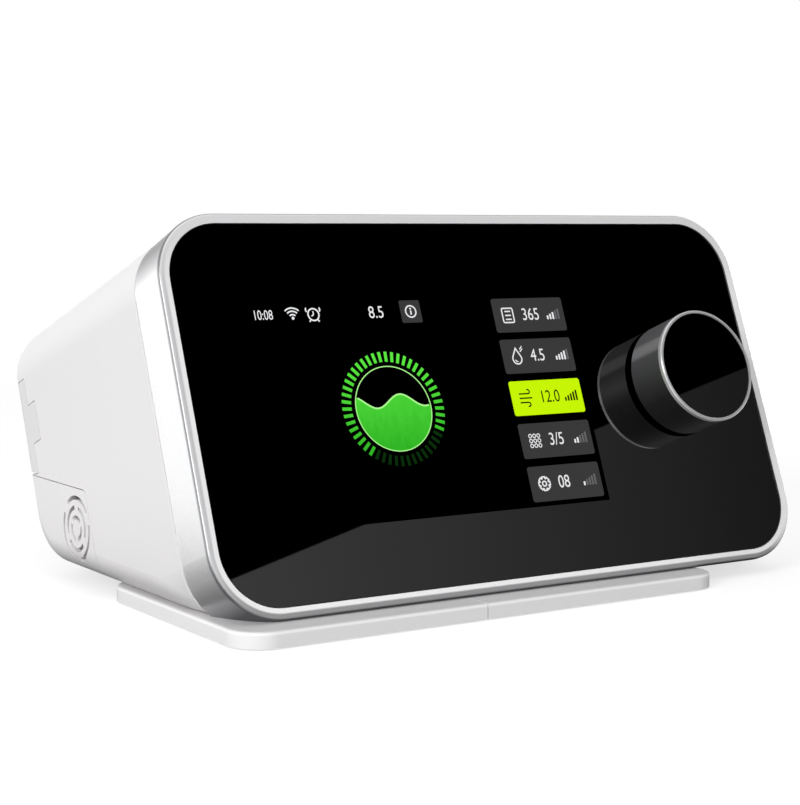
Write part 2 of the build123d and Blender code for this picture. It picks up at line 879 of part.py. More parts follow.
def flap_region(grow, floor):
    # the strip round the left rear edge, with a finger tab, that the card flap fills
    left = -body_depth
    deep = -body_depth*2
    with BuildPart() as region:
        add(block(face(0), (left, flap_u + grow), shrink(flap_v, -grow), (deep, flap_w + grow)))
        tab_v = shrink(flap_tab_v, -grow)
        add(block(face(0), (left, flap_tab_u), tab_v, (deep, flap_tab_w + grow), flap_tab_corner))
        add(above(floor), mode=Mode.INTERSECT)
    return region.part


casing_outer = shell_form(0, -ring_depth - seam)
casing_inner = shell_form(wall, -ring_depth + wall)

with BuildPart() as rear_shell:
    add(casing_outer)
    add(casing_inner, mode=Mode.SUBTRACT)
    with BuildSketch(Plane.XY.offset(floor_z + wall/2)):
        with Locations(*screw_points):
            Circle(foot_boss)
    extrude(amount=foot_boss_height + wall/2)
    with BuildSketch(face(inner_back - wall/2)):
        with Locations(*[(port_post_u, v) for v in port_post_v]):
            Circle(port_post_radius)
    extrude(amount=port_board_post + wall/2)
    with BuildSketch(Plane.XY.offset(floor_z)):
        with Locations(*screw_points):
            Circle(foot_screw + slip)
    extrude(amount=wall + foot_boss_height, mode=Mode.SUBTRACT)
    with BuildSketch(Plane.XY.offset(floor_z)):
        with Locations(*rear_foot_points):
            Circle(rear_stem_radius + hole_gap)
    extrude(amount=wall, mode=Mode.SUBTRACT)
    with BuildSketch(spot(power_u, power_v, -body_depth)):
        Rectangle(power_size + 2*hole_gap, power_size + 2*hole_gap)
    extrude(amount=wall, mode=Mode.SUBTRACT)
    outlet_hole = rod(Plane.XZ, (outlet_x, port_z), cuff_stop_radius + hole_gap, (-cone_end, -stub_start))
    add(outlet_hole, mode=Mode.SUBTRACT)
    add(
        block(Plane.YZ, bay_inner_y, bay_inner_z, (tank_right, body_depth), mouth_corner),
        mode=Mode.SUBTRACT,
    )
    add(cover_region(seam), mode=Mode.SUBTRACT)
    add(flap_region(flap_gap, cover_top + seam/2), mode=Mode.SUBTRACT)
rear_shell.part.label = "rear_shell"
export_step(rear_shell.part, "parts/rear_shell.step")

with BuildPart() as filter_cover:
    add(casing_outer)
    add(cover_region(0), mode=Mode.INTERSECT)
    cavity = casing_inner - rod(
        Plane.YZ,
        (vent_y, vent_z),
        vent_rib_inner + vent_rib_wall,
        (-body_depth, -half_back + wall + vent_rib_depth),
        bore=vent_rib_inner,
    )
    add(cavity, mode=Mode.SUBTRACT)
    with BuildSketch(Plane.YZ.offset(-half_back - wall)):
        for radius, turn in zip(vent_rings, vent_turn):
            for i in range(3):
                middle = radians(turn + 120*i)
                with BuildLine():
                    CenterArc((vent_y, vent_z), radius, degrees(middle) - vent_arc/2, vent_arc)
                trace(line_width=vent_slot)
    extrude(amount=3*wall, mode=Mode.SUBTRACT)
filter_cover.part.label = "filter_cover"
export_step(filter_cover.part, "parts/filter_cover.step")

with BuildPart() as port_flap:
    add(casing_outer)
    add(shell_form(flap_thick, -ring_depth + wall), mode=Mode.SUBTRACT)
    add(flap_region(0, cover_top + flap_drop), mode=Mode.INTERSECT)
port_flap.part.label = "port_flap"
export_step(port_flap.part, "parts/port_flap.step")

# Card, its socket and board, and the power inlet

port_board_back = inner_back + port_board_post
port_board_front = port_board_back + board_thick
card_level = port_board_front + (socket_thick - card_thick)/2

with BuildPart() as port_board:
    add(block(face(0), port_board_u, port_board_v, (port_board_back, port_board_front)))
port_board.part.label = "port_board"
export_step(port_board.part, "parts/port_board.step")

with BuildPart() as card_socket:
    add(block(face(0), socket_u, socket_v, (port_board_front, port_board_front + socket_thick)))
    slot_u = (socket_u[0], card_left + card_length + card_travel + card_gap)
    slot_w = (card_level - card_gap, card_level + card_thick + card_gap)
    add(block(face(0), slot_u, shrink(card_v, -card_gap), slot_w), mode=Mode.SUBTRACT)
card_socket.part.label = "card_socket"
export_step(card_socket.part, "parts/card_socket.step")

with BuildPart() as memory_card:
    card_u = (card_left, card_left + card_length)
    add(block(face(0), card_u, card_v, (card_level, card_level + card_thick)))
memory_card.part.label = "memory_card"
export_step(memory_card.part, "parts/memory_card.step")

with BuildPart() as power_inlet:
    inlet_axis = spot(power_u, power_v, -body_depth)
    body = (-power_size/2, power_size/2)
    flange = (-power_flange/2, power_flange/2)
    add(block(inlet_axis, body, body, (0, power_depth)))
    add(block(inlet_axis, flange, flange, (wall, wall + power_flange_thick)))
    add(rod(inlet_axis, (0, 0), barrel_radius, (0, barrel_depth)), mode=Mode.SUBTRACT)
    add(rod(inlet_axis, (0, 0), barrel_pin, (barrel_pin_sink, barrel_depth + barrel_pin_sink)))
power_inlet.part.label = "power_inlet"
export_step(power_inlet.part, "parts/power_inlet.step")

# Filter, intake box and bellows

housing_x = (filter_x[0], plenum_x[0])
housing_y = shrink(filter_y, -filter_gap - housing_wall)
housing_z = shrink(filter_z, -filter_gap - housing_wall)

with BuildPart() as filter_pad:
    add(block(Plane.YZ, filter_y, filter_z, filter_x))
filter_pad.part.label = "filter_pad"
export_step(filter_pad.part, "parts/filter_pad.step")

with BuildPart() as filter_housing:
    add(block(Plane.YZ, housing_y, housing_z, housing_x))
    inside = (shrink(filter_y, -filter_gap), shrink(filter_z, -filter_gap))
    add(block(Plane.YZ, *inside, (housing_x[0], housing_x[1] - housing_wall)), mode=Mode.SUBTRACT)
    window_y = (filter_y[0] + 2*housing_wall, plenum_y[1] - 2*housing_wall)
    window_z = shrink(filter_z, 2*housing_wall)
    add(block(Plane.YZ, window_y, window_z, housing_x), mode=Mode.SUBTRACT)
filter_housing.part.label = "filter_housing"
export_step(filter_housing.part, "parts/filter_housing.step")

blower_axis = Plane(origin=(blower_x, blower_y, 0), x_dir=(1, 0, 0), z_dir=(0, 0, 1))

with BuildPart() as intake_plenum:
    add(block(Plane.XY, plenum_x, plenum_y, (casing_floor, plenum_top)))
    fillet(intake_plenum.edges().filter_by(Axis.Z), 2*plenum_wall)
    inner_z = (casing_floor + plenum_wall, plenum_top - plenum_wall)
    add(
        block(Plane.XY, shrink(plenum_x, plenum_wall), shrink(plenum_y, plenum_wall), inner_z, plenum_wall),
        mode=Mode.SUBTRACT,
    )
    add(rod(blower_axis, (0, 0), collar_radius, (plenum_top, plenum_top + collar_height)))
    add(rod(blower_axis, (0, 0), inlet_radius, (inner_z[1], plenum_top + collar_height)), mode=Mode.SUBTRACT)
    add(block(Plane.YZ, window_y, window_z, (plenum_x[0], plenum_x[0] + plenum_wall)), mode=Mode.SUBTRACT)
intake_plenum.part.label = "intake_plenum"
export_step(intake_plenum.part, "parts/intake_plenum.step")

with BuildPart() as intake_foam:
    foam_z = (inner_z[0], inner_z[0] + foam_thick)
    add(block(Plane.XY, foam_x, foam_y, foam_z, plenum_wall))
intake_foam.part.label = "intake_foam"
export_step(intake_foam.part, "parts/intake_foam.step")

volute_low = port_z - duct_height/2 - volute_wall
volute_high = port_z + duct_height/2 + volute_wall


def sleeve(plane, start, end, radius, bulge):
    # a soft sleeve over two spigots, with one fold in the middle
    inner = radius + sleeve_gap
    outer = inner + sleeve_wall
    middle = (start + end)/2
    fold = bulge*1.5
    return turned(
        plane,
        [
            (inner, start),
            (outer, start),
            (outer, middle - fold),
            (outer + bulge, middle),
            (outer, middle + fold),
            (outer, end),
            (inner, end),
            (inner, middle + fold),
            (inner + bulge, middle),
            (inner, middle - fold),
        ],
    )


with BuildPart() as inlet_bellows:
    add(sleeve(blower_axis, plenum_top + sleeve_end, volute_low - sleeve_end, collar_radius, bellows_bulge))
inlet_bellows.part.label = "inlet_bellows"
export_step(inlet_bellows.part, "parts/inlet_bellows.step")

# Blower: a scroll housing in two halves, impeller, and a motor on top

mount_points = [(blower_x + a*mount_offset_x, blower_y + b*mount_offset_y) for a in (-1, 1) for b in (-1, 1)]

with BuildPart() as blower_mounts:
    with BuildSketch(Plane.XY.offset(plenum_top)):
        with Locations(*mount_points):
            Circle(mount_radius)
    extrude(amount=volute_low - plenum_top)
blower_mounts.part.label = "blower_mounts"
export_step(blower_mounts.part, "parts/blower_mounts.step")


def scroll(height, low, grow):
    # the scroll outline: three quarter arcs that grow outwards, and a straight duct to the right
    duct_low = scroll_radius + 3*scroll_growth
    duct_high = duct_low - duct_width
    start = -asin(duct_high/scroll_radius)
    first = (blower_x + scroll_radius*cos(start), blower_y + scroll_radius*sin(start))
    right = blower_x + duct_reach
    with BuildPart() as piece:
        with BuildSketch(Plane.XY.offset(low)):
            with BuildLine():
                a = JernArc(first, (-sin(start), cos(start)), scroll_radius, 90 - degrees(start))
                b = JernArc(a @ 1, a % 1, scroll_radius + scroll_growth, 90)
                c = JernArc(b @ 1, b % 1, scroll_radius + 2*scroll_growth, 90)
                d = Line(c @ 1, (right, blower_y - duct_low))
                e = Line(d @ 1, (right, blower_y - duct_high))
                Line(e @ 1, first)
            make_face()
            if grow:
                offset(amount=grow, kind=Kind.ARC)
        extrude(amount=height)
    return piece.part


duct_y = blower_y - scroll_radius - 3*scroll_growth + duct_width/2
volute_end = blower_x + duct_reach + volute_wall
volute_reach = volute_end + spigot_length

with BuildPart() as volute:
    add(scroll(volute_high - volute_low, volute_low, volute_wall))
    add(rod(Plane.YZ, (duct_y, port_z), spigot_outer, (volute_end - volute_wall, volute_reach)))
    add(rod(blower_axis, (0, 0), collar_radius, (volute_low - collar_height, volute_low + volute_wall/2)))
    add(scroll(duct_height, volute_low + volute_wall, 0), mode=Mode.SUBTRACT)
    add(
        rod(Plane.YZ, (duct_y, port_z), spigot_inner, (volute_end - 2*volute_wall, volute_reach)),
        mode=Mode.SUBTRACT,
    )
    add(rod(blower_axis, (0, 0), inlet_radius, (volute_low - collar_height, port_z)), mode=Mode.SUBTRACT)
    add(rod(blower_axis, (0, 0), motor_shaft_hole, (port_z, volute_high)), mode=Mode.SUBTRACT)

with BuildPart() as volute_lower:
    add(volute.part)
    split(bisect_by=Plane.XY.offset(port_z), keep=Keep.BOTTOM)
volute_lower.part.label = "volute_lower"
export_step(volute_lower.part, "parts/volute_lower.step")

with BuildPart() as volute_upper:
    add(volute.part)
    split(bisect_by=Plane.XY.offset(port_z), keep=Keep.TOP)
volute_upper.part.label = "volute_upper"
export_step(volute_upper.part, "parts/volute_upper.step")

blade_low = volute_low + volute_wall + blade_clear
blade_high = volute_high - volute_wall - impeller_gap - impeller_disc
motor_low = volute_high
motor_top = motor_low + motor_height
motor_shaft_low = blade_low + blade_clear
motor_shaft_high = motor_top - motor_wall - slip

with BuildPart() as impeller:
    add(rod(blower_axis, (0, 0), impeller_radius, (blade_high, blade_high + impeller_disc)))
    add(rod(blower_axis, (0, 0), impeller_hub, (blade_low, blade_high)))
    with BuildSketch(blower_axis.offset(blade_low)):
        for i in range(blade_count):
            turn = 360*i/blade_count
            middle_radius = (blade_root + impeller_radius)/2
            with BuildLine():
                ThreePointArc(
                    Vector(blade_root, 0).rotate(Axis.Z, turn),
                    Vector(middle_radius, 0).rotate(Axis.Z, turn - blade_lead),
                    Vector(impeller_radius - blade_thick, 0).rotate(Axis.Z, turn - blade_sweep),
                )
            trace(line_width=blade_thick)
    extrude(amount=blade_high - blade_low)
    bore_z = (motor_shaft_low, blade_high + impeller_disc)
    bore = rod(blower_axis, (0, 0), motor_shaft_radius + slip/2, bore_z)
    add(bore, mode=Mode.SUBTRACT)
impeller.part.label = "impeller"
export_step(impeller.part, "parts/impeller.step")

with BuildPart() as motor_shaft:
    add(rod(blower_axis, (0, 0), motor_shaft_radius, (motor_shaft_low, motor_shaft_high)))
motor_shaft.part.label = "motor_shaft"
export_step(motor_shaft.part, "parts/motor_shaft.step")

motor_floor = motor_low + motor_wall
motor_roof = motor_top - motor_wall
stator_low = motor_floor + stator_lift

with BuildPart() as motor_housing:
    seat_inner = bearing_radius + slip
    seat_outer = seat_inner + bearing_seat
    cavity = motor_radius - motor_wall
    add(
        turned(
            blower_axis,
            [
                (motor_shaft_hole, motor_low),
                (motor_radius, motor_low),
                (motor_radius, motor_top),
                (0, motor_top),
                (0, motor_roof),
                (seat_inner, motor_roof),
                (seat_inner, motor_roof - bearing_thick),
                (seat_outer, motor_roof - bearing_thick),
                (seat_outer, motor_roof),
                (cavity, motor_roof),
                (cavity, motor_floor),
                (seat_outer, motor_floor),
                (seat_outer, motor_floor + bearing_thick),
                (seat_inner, motor_floor + bearing_thick),
                (seat_inner, motor_floor),
                (motor_shaft_hole, motor_floor),
            ],
        )
    )
motor_housing.part.label = "motor_housing"
export_step(motor_housing.part, "parts/motor_housing.step")

with BuildPart() as motor_bearings:
    for low in (motor_floor, motor_roof - bearing_thick):
        bore = motor_shaft_radius + slip/2
        add(rod(blower_axis, (0, 0), bearing_radius, (low, low + bearing_thick), bore=bore))
motor_bearings.part.label = "motor_bearings"
export_step(motor_bearings.part, "parts/motor_bearings.step")

with BuildPart() as motor_stator:
    stator_outer = motor_radius - motor_wall - slip
    add(rod(blower_axis, (0, 0), stator_outer, (stator_low, stator_low + stator_thick), bore=stator_inner))
    with BuildSketch(blower_axis.offset(stator_low)):
        with PolarLocations((stator_outer + stator_inner)/2, stator_poles):
            Circle(stator_hole)
    extrude(amount=stator_thick, mode=Mode.SUBTRACT)
motor_stator.part.label = "motor_stator"
export_step(motor_stator.part, "parts/motor_stator.step")

with BuildPart() as rotor_magnet:
    bore = motor_shaft_radius + slip/2
    magnet_z = (stator_low, stator_low + magnet_length)
    add(rod(blower_axis, (0, 0), magnet_radius, magnet_z, bore=bore))
rotor_magnet.part.label = "rotor_magnet"
export_step(rotor_magnet.part, "parts/rotor_magnet.step")

# Air path: boot from blower to bay, elbow from bay to the outlet at the back

boot_axis = Plane(origin=(0, duct_y, port_z), x_dir=(0, 0, 1), z_dir=(1, 0, 0))

with BuildPart() as blower_boot:
    add(sleeve(boot_axis, volute_end + sleeve_end, bay_left - sleeve_end, spigot_outer, bellows_bulge))
blower_boot.part.label = "blower_boot"
export_step(blower_boot.part, "parts/blower_boot.step")

with BuildPart() as outlet_elbow:
    with BuildLine() as route:
        corner_x = outlet_x + elbow_radius
        a = Line((bay_left - sleeve_end, port_y[1], port_z), (corner_x, port_y[1], port_z))
        b = RadiusArc(a @ 1, (outlet_x, port_y[1] + elbow_radius, port_z), elbow_radius)
        Line(b @ 1, (outlet_x, flange_start - sleeve_end, port_z))
    with BuildSketch(Plane(origin=route.line @ 0, z_dir=route.line % 0)):
        Circle(spigot_outer + sleeve_gap + sleeve_wall)
        Circle(spigot_outer + sleeve_gap, mode=Mode.SUBTRACT)
    sweep()
outlet_elbow.part.label = "outlet_elbow"
export_step(outlet_elbow.part, "parts/outlet_elbow.step")

with BuildPart() as outlet_port:
    add(rod(Plane.XZ, (outlet_x, port_z), flange_radius, (-flange_start - flange_thick, -flange_start)))
    add(rod(Plane.XZ, (outlet_x, port_z), cuff_stop_radius, (-cuff_stop, -flange_start)))
    add(rod(Plane.XZ, (outlet_x, port_z), cone_radius, (-cone_end, -flange_start)))
    add(rod(Plane.XZ, (outlet_x, port_z), spigot_outer, (-flange_start, -stub_start)))
    add(rod(Plane.XZ, (outlet_x, port_z), spigot_inner, (-cone_end, -stub_start)), mode=Mode.SUBTRACT)
    cone_bore = cone_radius - cone_wall
    cone_hole = rod(Plane.XZ, (outlet_x, port_z), cone_bore, (-cone_end, -flange_start - flange_thick))
    add(cone_hole, mode=Mode.SUBTRACT)
outlet_port.part.label = "outlet_port"
export_step(outlet_port.part, "parts/outlet_port.step")

# Tank bay, seals and heater

heater_low = bay_bottom
catch_x = (tank_right, bay_mouth - catch_wall)
catch_y = (latch_y - latch_tongue/2 - tank_gap, latch_y + latch_tongue/2 + tank_gap)

with BuildPart() as tank_bay:
    add(block(Plane.YZ, bay_y, bay_z, (bay_left, bay_mouth), bay_corner))
    add(
        block(Plane.YZ, bay_inner_y, bay_inner_z, (bay_left + bay_wall, bay_mouth), mouth_corner),
        mode=Mode.SUBTRACT,
    )
    for y in port_y:
        add(rod(Plane.YZ, (y, port_z), spigot_outer, (bay_left - bay_spigot, bay_left + bay_wall)))
        add(
            rod(Plane.YZ, (y, port_z), spigot_inner, (bay_left - bay_spigot, bay_left + bay_wall)),
            mode=Mode.SUBTRACT,
        )
    hole_x = shrink(heater_x, -heater_gap)
    hole_y = shrink(heater_y, -heater_gap)
    heater_hole = block(Plane.XY, hole_x, hole_y, (bay_bottom, bay_bottom + bay_wall), heater_corner)
    add(heater_hole, mode=Mode.SUBTRACT)
    add(block(Plane.XY, catch_x, catch_y, (bay_inner_z[1], bay_top)), mode=Mode.SUBTRACT)
    with BuildSketch(Plane.XY.offset(casing_floor)):
        with Locations(*[(x, y) for x in leg_x for y in leg_y]):
            Circle(leg_radius)
    extrude(amount=bay_bottom - casing_floor + bay_wall/2)
tank_bay.part.label = "tank_bay"
export_step(tank_bay.part, "parts/tank_bay.step")

with BuildPart() as port_seals:
    seal_x = (bay_left + bay_wall, bay_left + bay_wall + seal_thick)
    for y in port_y:
        add(rod(Plane.YZ, (y, port_z), seal_outer, seal_x, bore=spigot_inner))
port_seals.part.label = "port_seals"
export_step(port_seals.part, "parts/port_seals.step")

with BuildPart() as heater_plate:
    add(block(Plane.XY, heater_x, heater_y, (heater_low, heater_low + heater_thick), heater_corner))
heater_plate.part.label = "heater_plate"
export_step(heater_plate.part, "parts/heater_plate.step")

spring_x = shrink(heater_x, spring_inset)
spring_y = shrink(heater_y, spring_inset_y)
spring_low = casing_floor + slip
spring_high = heater_low - slip

with BuildPart() as heater_springs:
    for x in spring_x:
        for y in spring_y:
            rise = spring_high - spring_low - 2*spring_wire
            with BuildLine(Plane.XY.offset(spring_low + spring_wire)) as coil:
                Helix(rise/spring_turns, rise, spring_radius, center=(x, y, 0))
            with BuildSketch(Plane(origin=coil.line @ 0, z_dir=coil.line % 0)):
                Circle(spring_wire)
            sweep(is_frenet=True)
heater_springs.part.label = "heater_springs"
export_step(heater_springs.part, "parts/heater_springs.step")

heater_middle = ((heater_x[0] + heater_x[1])/2, (heater_y[0] + heater_y[1])/2)

with BuildPart() as heater_sensor:
    add(rod(Plane.XY, heater_middle, sensor_radius, (heater_low - sensor_thick, heater_low)))
heater_sensor.part.label = "heater_sensor"
export_step(heater_sensor.part, "parts/heater_sensor.step")

# Tank: tub with a metal base, seal and top, and a door that closes the casing

tank_y = shrink(bay_inner_y, tank_gap)
tank_z = shrink(bay_inner_z, tank_gap)
tank_corner = mouth_corner - tank_gap
tank_x = (tank_left, tank_right)
base_z = (tank_z[0] + base_plate_sink, tank_z[0] + base_plate_sink + base_plate_thick)
top_z = tub_rim + tank_seal_thick

with BuildPart() as tank_form:
    add(block(Plane.YZ, tank_y, tank_z, tank_x, tank_corner))

with BuildPart() as tank_hollow:
    hollow_y = shrink(tank_y, tank_wall)
    hollow_z = (base_z[1] + tank_wall, tank_z[1] - tank_wall)
    add(block(Plane.YZ, hollow_y, hollow_z, shrink(tank_x, tank_wall), tank_corner - tank_wall))

with BuildPart() as tank_tub:
    add(tank_form.part)
    add(tank_hollow.part, mode=Mode.SUBTRACT)
    split(bisect_by=Plane.XY.offset(tub_rim), keep=Keep.BOTTOM)
    recess_x = shrink(tank_x, base_inset_x)
    recess_y = shrink(tank_y, base_inset_y)
    add(block(Plane.XY, recess_x, recess_y, (0, base_z[1])), mode=Mode.SUBTRACT)
tank_tub.part.label = "tank_tub"
export_step(tank_tub.part, "parts/tank_tub.step")

with BuildPart() as tank_base:
    add(block(Plane.XY, shrink(recess_x, tank_base_gap), shrink(recess_y, tank_base_gap), base_z))
tank_base.part.label = "tank_base"
export_step(tank_base.part, "parts/tank_base.step")

with BuildPart() as tank_seal:
    add(tank_form.part)
    add(tank_hollow.part, mode=Mode.SUBTRACT)
    add(block(Plane.XY, tank_x, tank_y, (tub_rim, top_z)), mode=Mode.INTERSECT)
tank_seal.part.label = "tank_seal"
export_step(tank_seal.part, "parts/tank_seal.step")

with BuildPart() as tank_top:
    add(tank_form.part)
    add(tank_hollow.part, mode=Mode.SUBTRACT)
    split(bisect_by=Plane.XY.offset(top_z), keep=Keep.TOP)
    for y in port_y:
        tube = (tank_left, tank_left + tank_tube)
        add(rod(Plane.YZ, (y, port_z), tank_port_radius + tank_wall, tube))
        add(rod(Plane.YZ, (y, port_z), tank_port_radius, tube), mode=Mode.SUBTRACT)
tank_top.part.label = "tank_top"
export_step(tank_top.part, "parts/tank_top.step")

door_inner = half_back - door_skin
latch_y_span = (latch_y - latch_width/2, latch_y + latch_width/2)
latch_z_span = (latch_z - latch_height/2, latch_z + latch_height/2)
latch_back = door_inner - seat_gap - latch_flange_thick
tongue_y = (latch_y - latch_tongue/2, latch_y + latch_tongue/2)

with BuildPart() as tank_door:
    add(casing_outer)
    add(block(Plane.YZ, tank_y, tank_z, (tank_right, body_depth), tank_corner), mode=Mode.INTERSECT)
    pocket = (shrink(tank_y, door_wall), shrink(tank_z, door_wall))
    add(block(Plane.YZ, *pocket, (tank_right, door_inner), tank_corner - door_wall), mode=Mode.SUBTRACT)
    grip_back = door_inner - grip_depth
    grip_block = (shrink(grip_y, -grip_wall), shrink(grip_z, -grip_wall))
    grip_x = (grip_back + grip_wall, door_inner + door_skin/2)
    add(block(Plane.YZ, *grip_block, grip_x, grip_corner + grip_wall))
    add(
        block(Plane.YZ, grip_y, grip_z, (grip_back + 2*grip_wall, body_depth), grip_corner),
        mode=Mode.SUBTRACT,
    )
    add(
        block(
            Plane.YZ,
            shrink(latch_y_span, -hole_gap),
            shrink(latch_z_span, -hole_gap),
            (door_inner - slip, body_depth),
            latch_corner + hole_gap,
        ),
        mode=Mode.SUBTRACT,
    )
    slot_x = (latch_back - latch_travel - hole_gap, latch_back + latch_flange_thick + hole_gap)
    slot_z = (tank_z[1] - 2*door_wall, tank_z[1])
    add(block(Plane.XY, slot_x, shrink(tongue_y, -hole_gap), slot_z), mode=Mode.SUBTRACT)
tank_door.part.label = "tank_door"
export_step(tank_door.part, "parts/tank_door.step")

with BuildPart() as latch_button:
    add(casing_outer)
    add(
        block(Plane.YZ, latch_y_span, latch_z_span, (latch_back, body_depth), latch_corner),
        mode=Mode.INTERSECT,
    )
    flange_y = shrink(latch_y_span, -latch_flange)
    flange_x = (latch_back, latch_back + latch_flange_thick)
    add(block(Plane.YZ, flange_y, latch_z_span, flange_x, latch_corner))
    tongue_z = (latch_z, tank_z[1] - tank_gap)
    add(block(Plane.YZ, tongue_y, tongue_z, flange_x))
latch_button.part.label = "latch_button"
export_step(latch_button.part, "parts/latch_button.step")

# Leads: from the motor and from the heater sensor to the back of the main board


def bend_radii(points):
    # each bend as large as its two runs allow
    radii = []
    for before, corner, after in zip(points, points[1:], points[2:]):
        first = corner - before
        second = after - corner
        turn = radians(first.get_angle(second))
        radii.append(0.45*min(first.length, second.length)/tan(turn/2))
    return radii


motor_lead = [
    Vector(blower_x, blower_y - motor_radius - slip, lead_z),
    Vector(blower_x, blower_y - motor_radius - motor_lead_straight, lead_z),
    spot(blower_x, motor_lead_v, board_back - motor_lead_straight).origin,
    spot(blower_x, motor_lead_v, board_back).origin,
]
lead_x = bay_left - 2*lead_radius
sensor_edge = heater_middle[0] - sensor_radius - hole_gap
heater_lead = [
    spot(lead_x, -board_hole_v, board_back).origin,
    spot(lead_x, -board_hole_v, board_back - lead_straight).origin,
    Vector(lead_x, bay_front - 4*lead_radius, lead_floor),
    Vector(lead_x, screw_y[1], lead_floor),
    Vector(heater_x[0], heater_middle[1] - lead_radius, lead_floor),
    Vector(sensor_edge, heater_middle[1], heater_low - heater_travel - 2*lead_radius),
]

with BuildPart() as inner_leads:
    for route_points in (motor_lead, heater_lead):
        radii = bend_radii(route_points)
        with BuildLine() as run:
            FilletPolyline(*route_points, radius=radii)
        with BuildSketch(Plane(origin=run.line @ 0, z_dir=run.line % 0)):
            Circle(lead_radius)
        sweep()
        length = sum(edge.length for edge in run.line.edges())
        print("lead bend radii", [round(r, 1) for r in radii], "length", round(length, 1))
inner_leads.part.label = "inner_leads"
export_step(inner_leads.part, "parts/inner_leads.step")
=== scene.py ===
import json
from math import cos, pi, radians, sin

import bmesh
import bpy
from mathutils import Matrix, Vector


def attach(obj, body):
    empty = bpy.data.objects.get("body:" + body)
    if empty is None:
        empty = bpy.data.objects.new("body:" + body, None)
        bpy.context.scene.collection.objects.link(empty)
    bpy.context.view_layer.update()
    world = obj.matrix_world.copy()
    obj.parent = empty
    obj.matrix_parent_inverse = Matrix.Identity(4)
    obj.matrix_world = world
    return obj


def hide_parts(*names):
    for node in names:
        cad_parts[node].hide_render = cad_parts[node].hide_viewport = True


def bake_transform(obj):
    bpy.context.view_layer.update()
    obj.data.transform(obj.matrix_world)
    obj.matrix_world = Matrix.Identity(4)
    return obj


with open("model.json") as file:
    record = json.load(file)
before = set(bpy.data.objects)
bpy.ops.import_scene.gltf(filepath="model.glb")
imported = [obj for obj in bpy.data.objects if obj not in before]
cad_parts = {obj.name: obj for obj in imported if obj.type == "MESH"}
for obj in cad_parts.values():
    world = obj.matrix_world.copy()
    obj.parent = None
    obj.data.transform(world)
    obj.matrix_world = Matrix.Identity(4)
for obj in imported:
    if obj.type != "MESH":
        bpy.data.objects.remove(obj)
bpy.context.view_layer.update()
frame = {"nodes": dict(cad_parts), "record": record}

# The face leans back; right, up and out are its own directions
face = {"lean": 21, "height": 0.0588}
faceRight = Vector((1, 0, 0))
faceUp = Vector((0, sin(radians(face["lean"])), cos(radians(face["lean"]))))
faceOut = Vector((0, -cos(radians(face["lean"])), sin(radians(face["lean"]))))
faceMiddle = Vector((0, 0, face["height"]))


def onFace(across, up, out):
    # millimetres on the face to a place in the scene
    return faceMiddle + (faceRight * across + faceUp * up + faceOut * out) / 1000


screenCurve = {"knee": 0.04045, "slope": 12.92, "offset": 0.055, "power": 2.4}


def screenTone(*shades):
    # a colour read off a screen, 0 to 255, as the light it stands for
    tones = []
    for shade in shades:
        value = shade / 255
        curved = ((value + screenCurve["offset"]) / (1 + screenCurve["offset"])) ** screenCurve["power"]
        tones.append(value / screenCurve["slope"] if value < screenCurve["knee"] else curved)
    return tones + [1]


def shaded(colour, factor=1.0, lift=0.0):
    # a colour made darker or paler, with full cover
    return [value * factor + lift for value in colour[:3]] + [1]


# Node making

class Wire:
    # one output socket that can stand in plain sums
    def __init__(self, maker, socket):
        self.maker = maker
        self.socket = socket

    def sum(self, operation, first, second=None):
        return self.maker.node("ShaderNodeMath", {"operation": operation}, {0: first, 1: second})

    def __add__(self, other): return self.sum("ADD", self, other)
    def __radd__(self, other): return self.sum("ADD", other, self)
    def __sub__(self, other): return self.sum("SUBTRACT", self, other)
    def __rsub__(self, other): return self.sum("SUBTRACT", other, self)
    def __mul__(self, other): return self.sum("MULTIPLY", self, other)
    def __rmul__(self, other): return self.sum("MULTIPLY", other, self)
    def __truediv__(self, other): return self.sum("DIVIDE", self, other)
    def __pow__(self, other): return self.sum("POWER", self, other)
    def __gt__(self, other): return self.sum("GREATER_THAN", self, other)
    def __lt__(self, other): return self.sum("LESS_THAN", self, other)


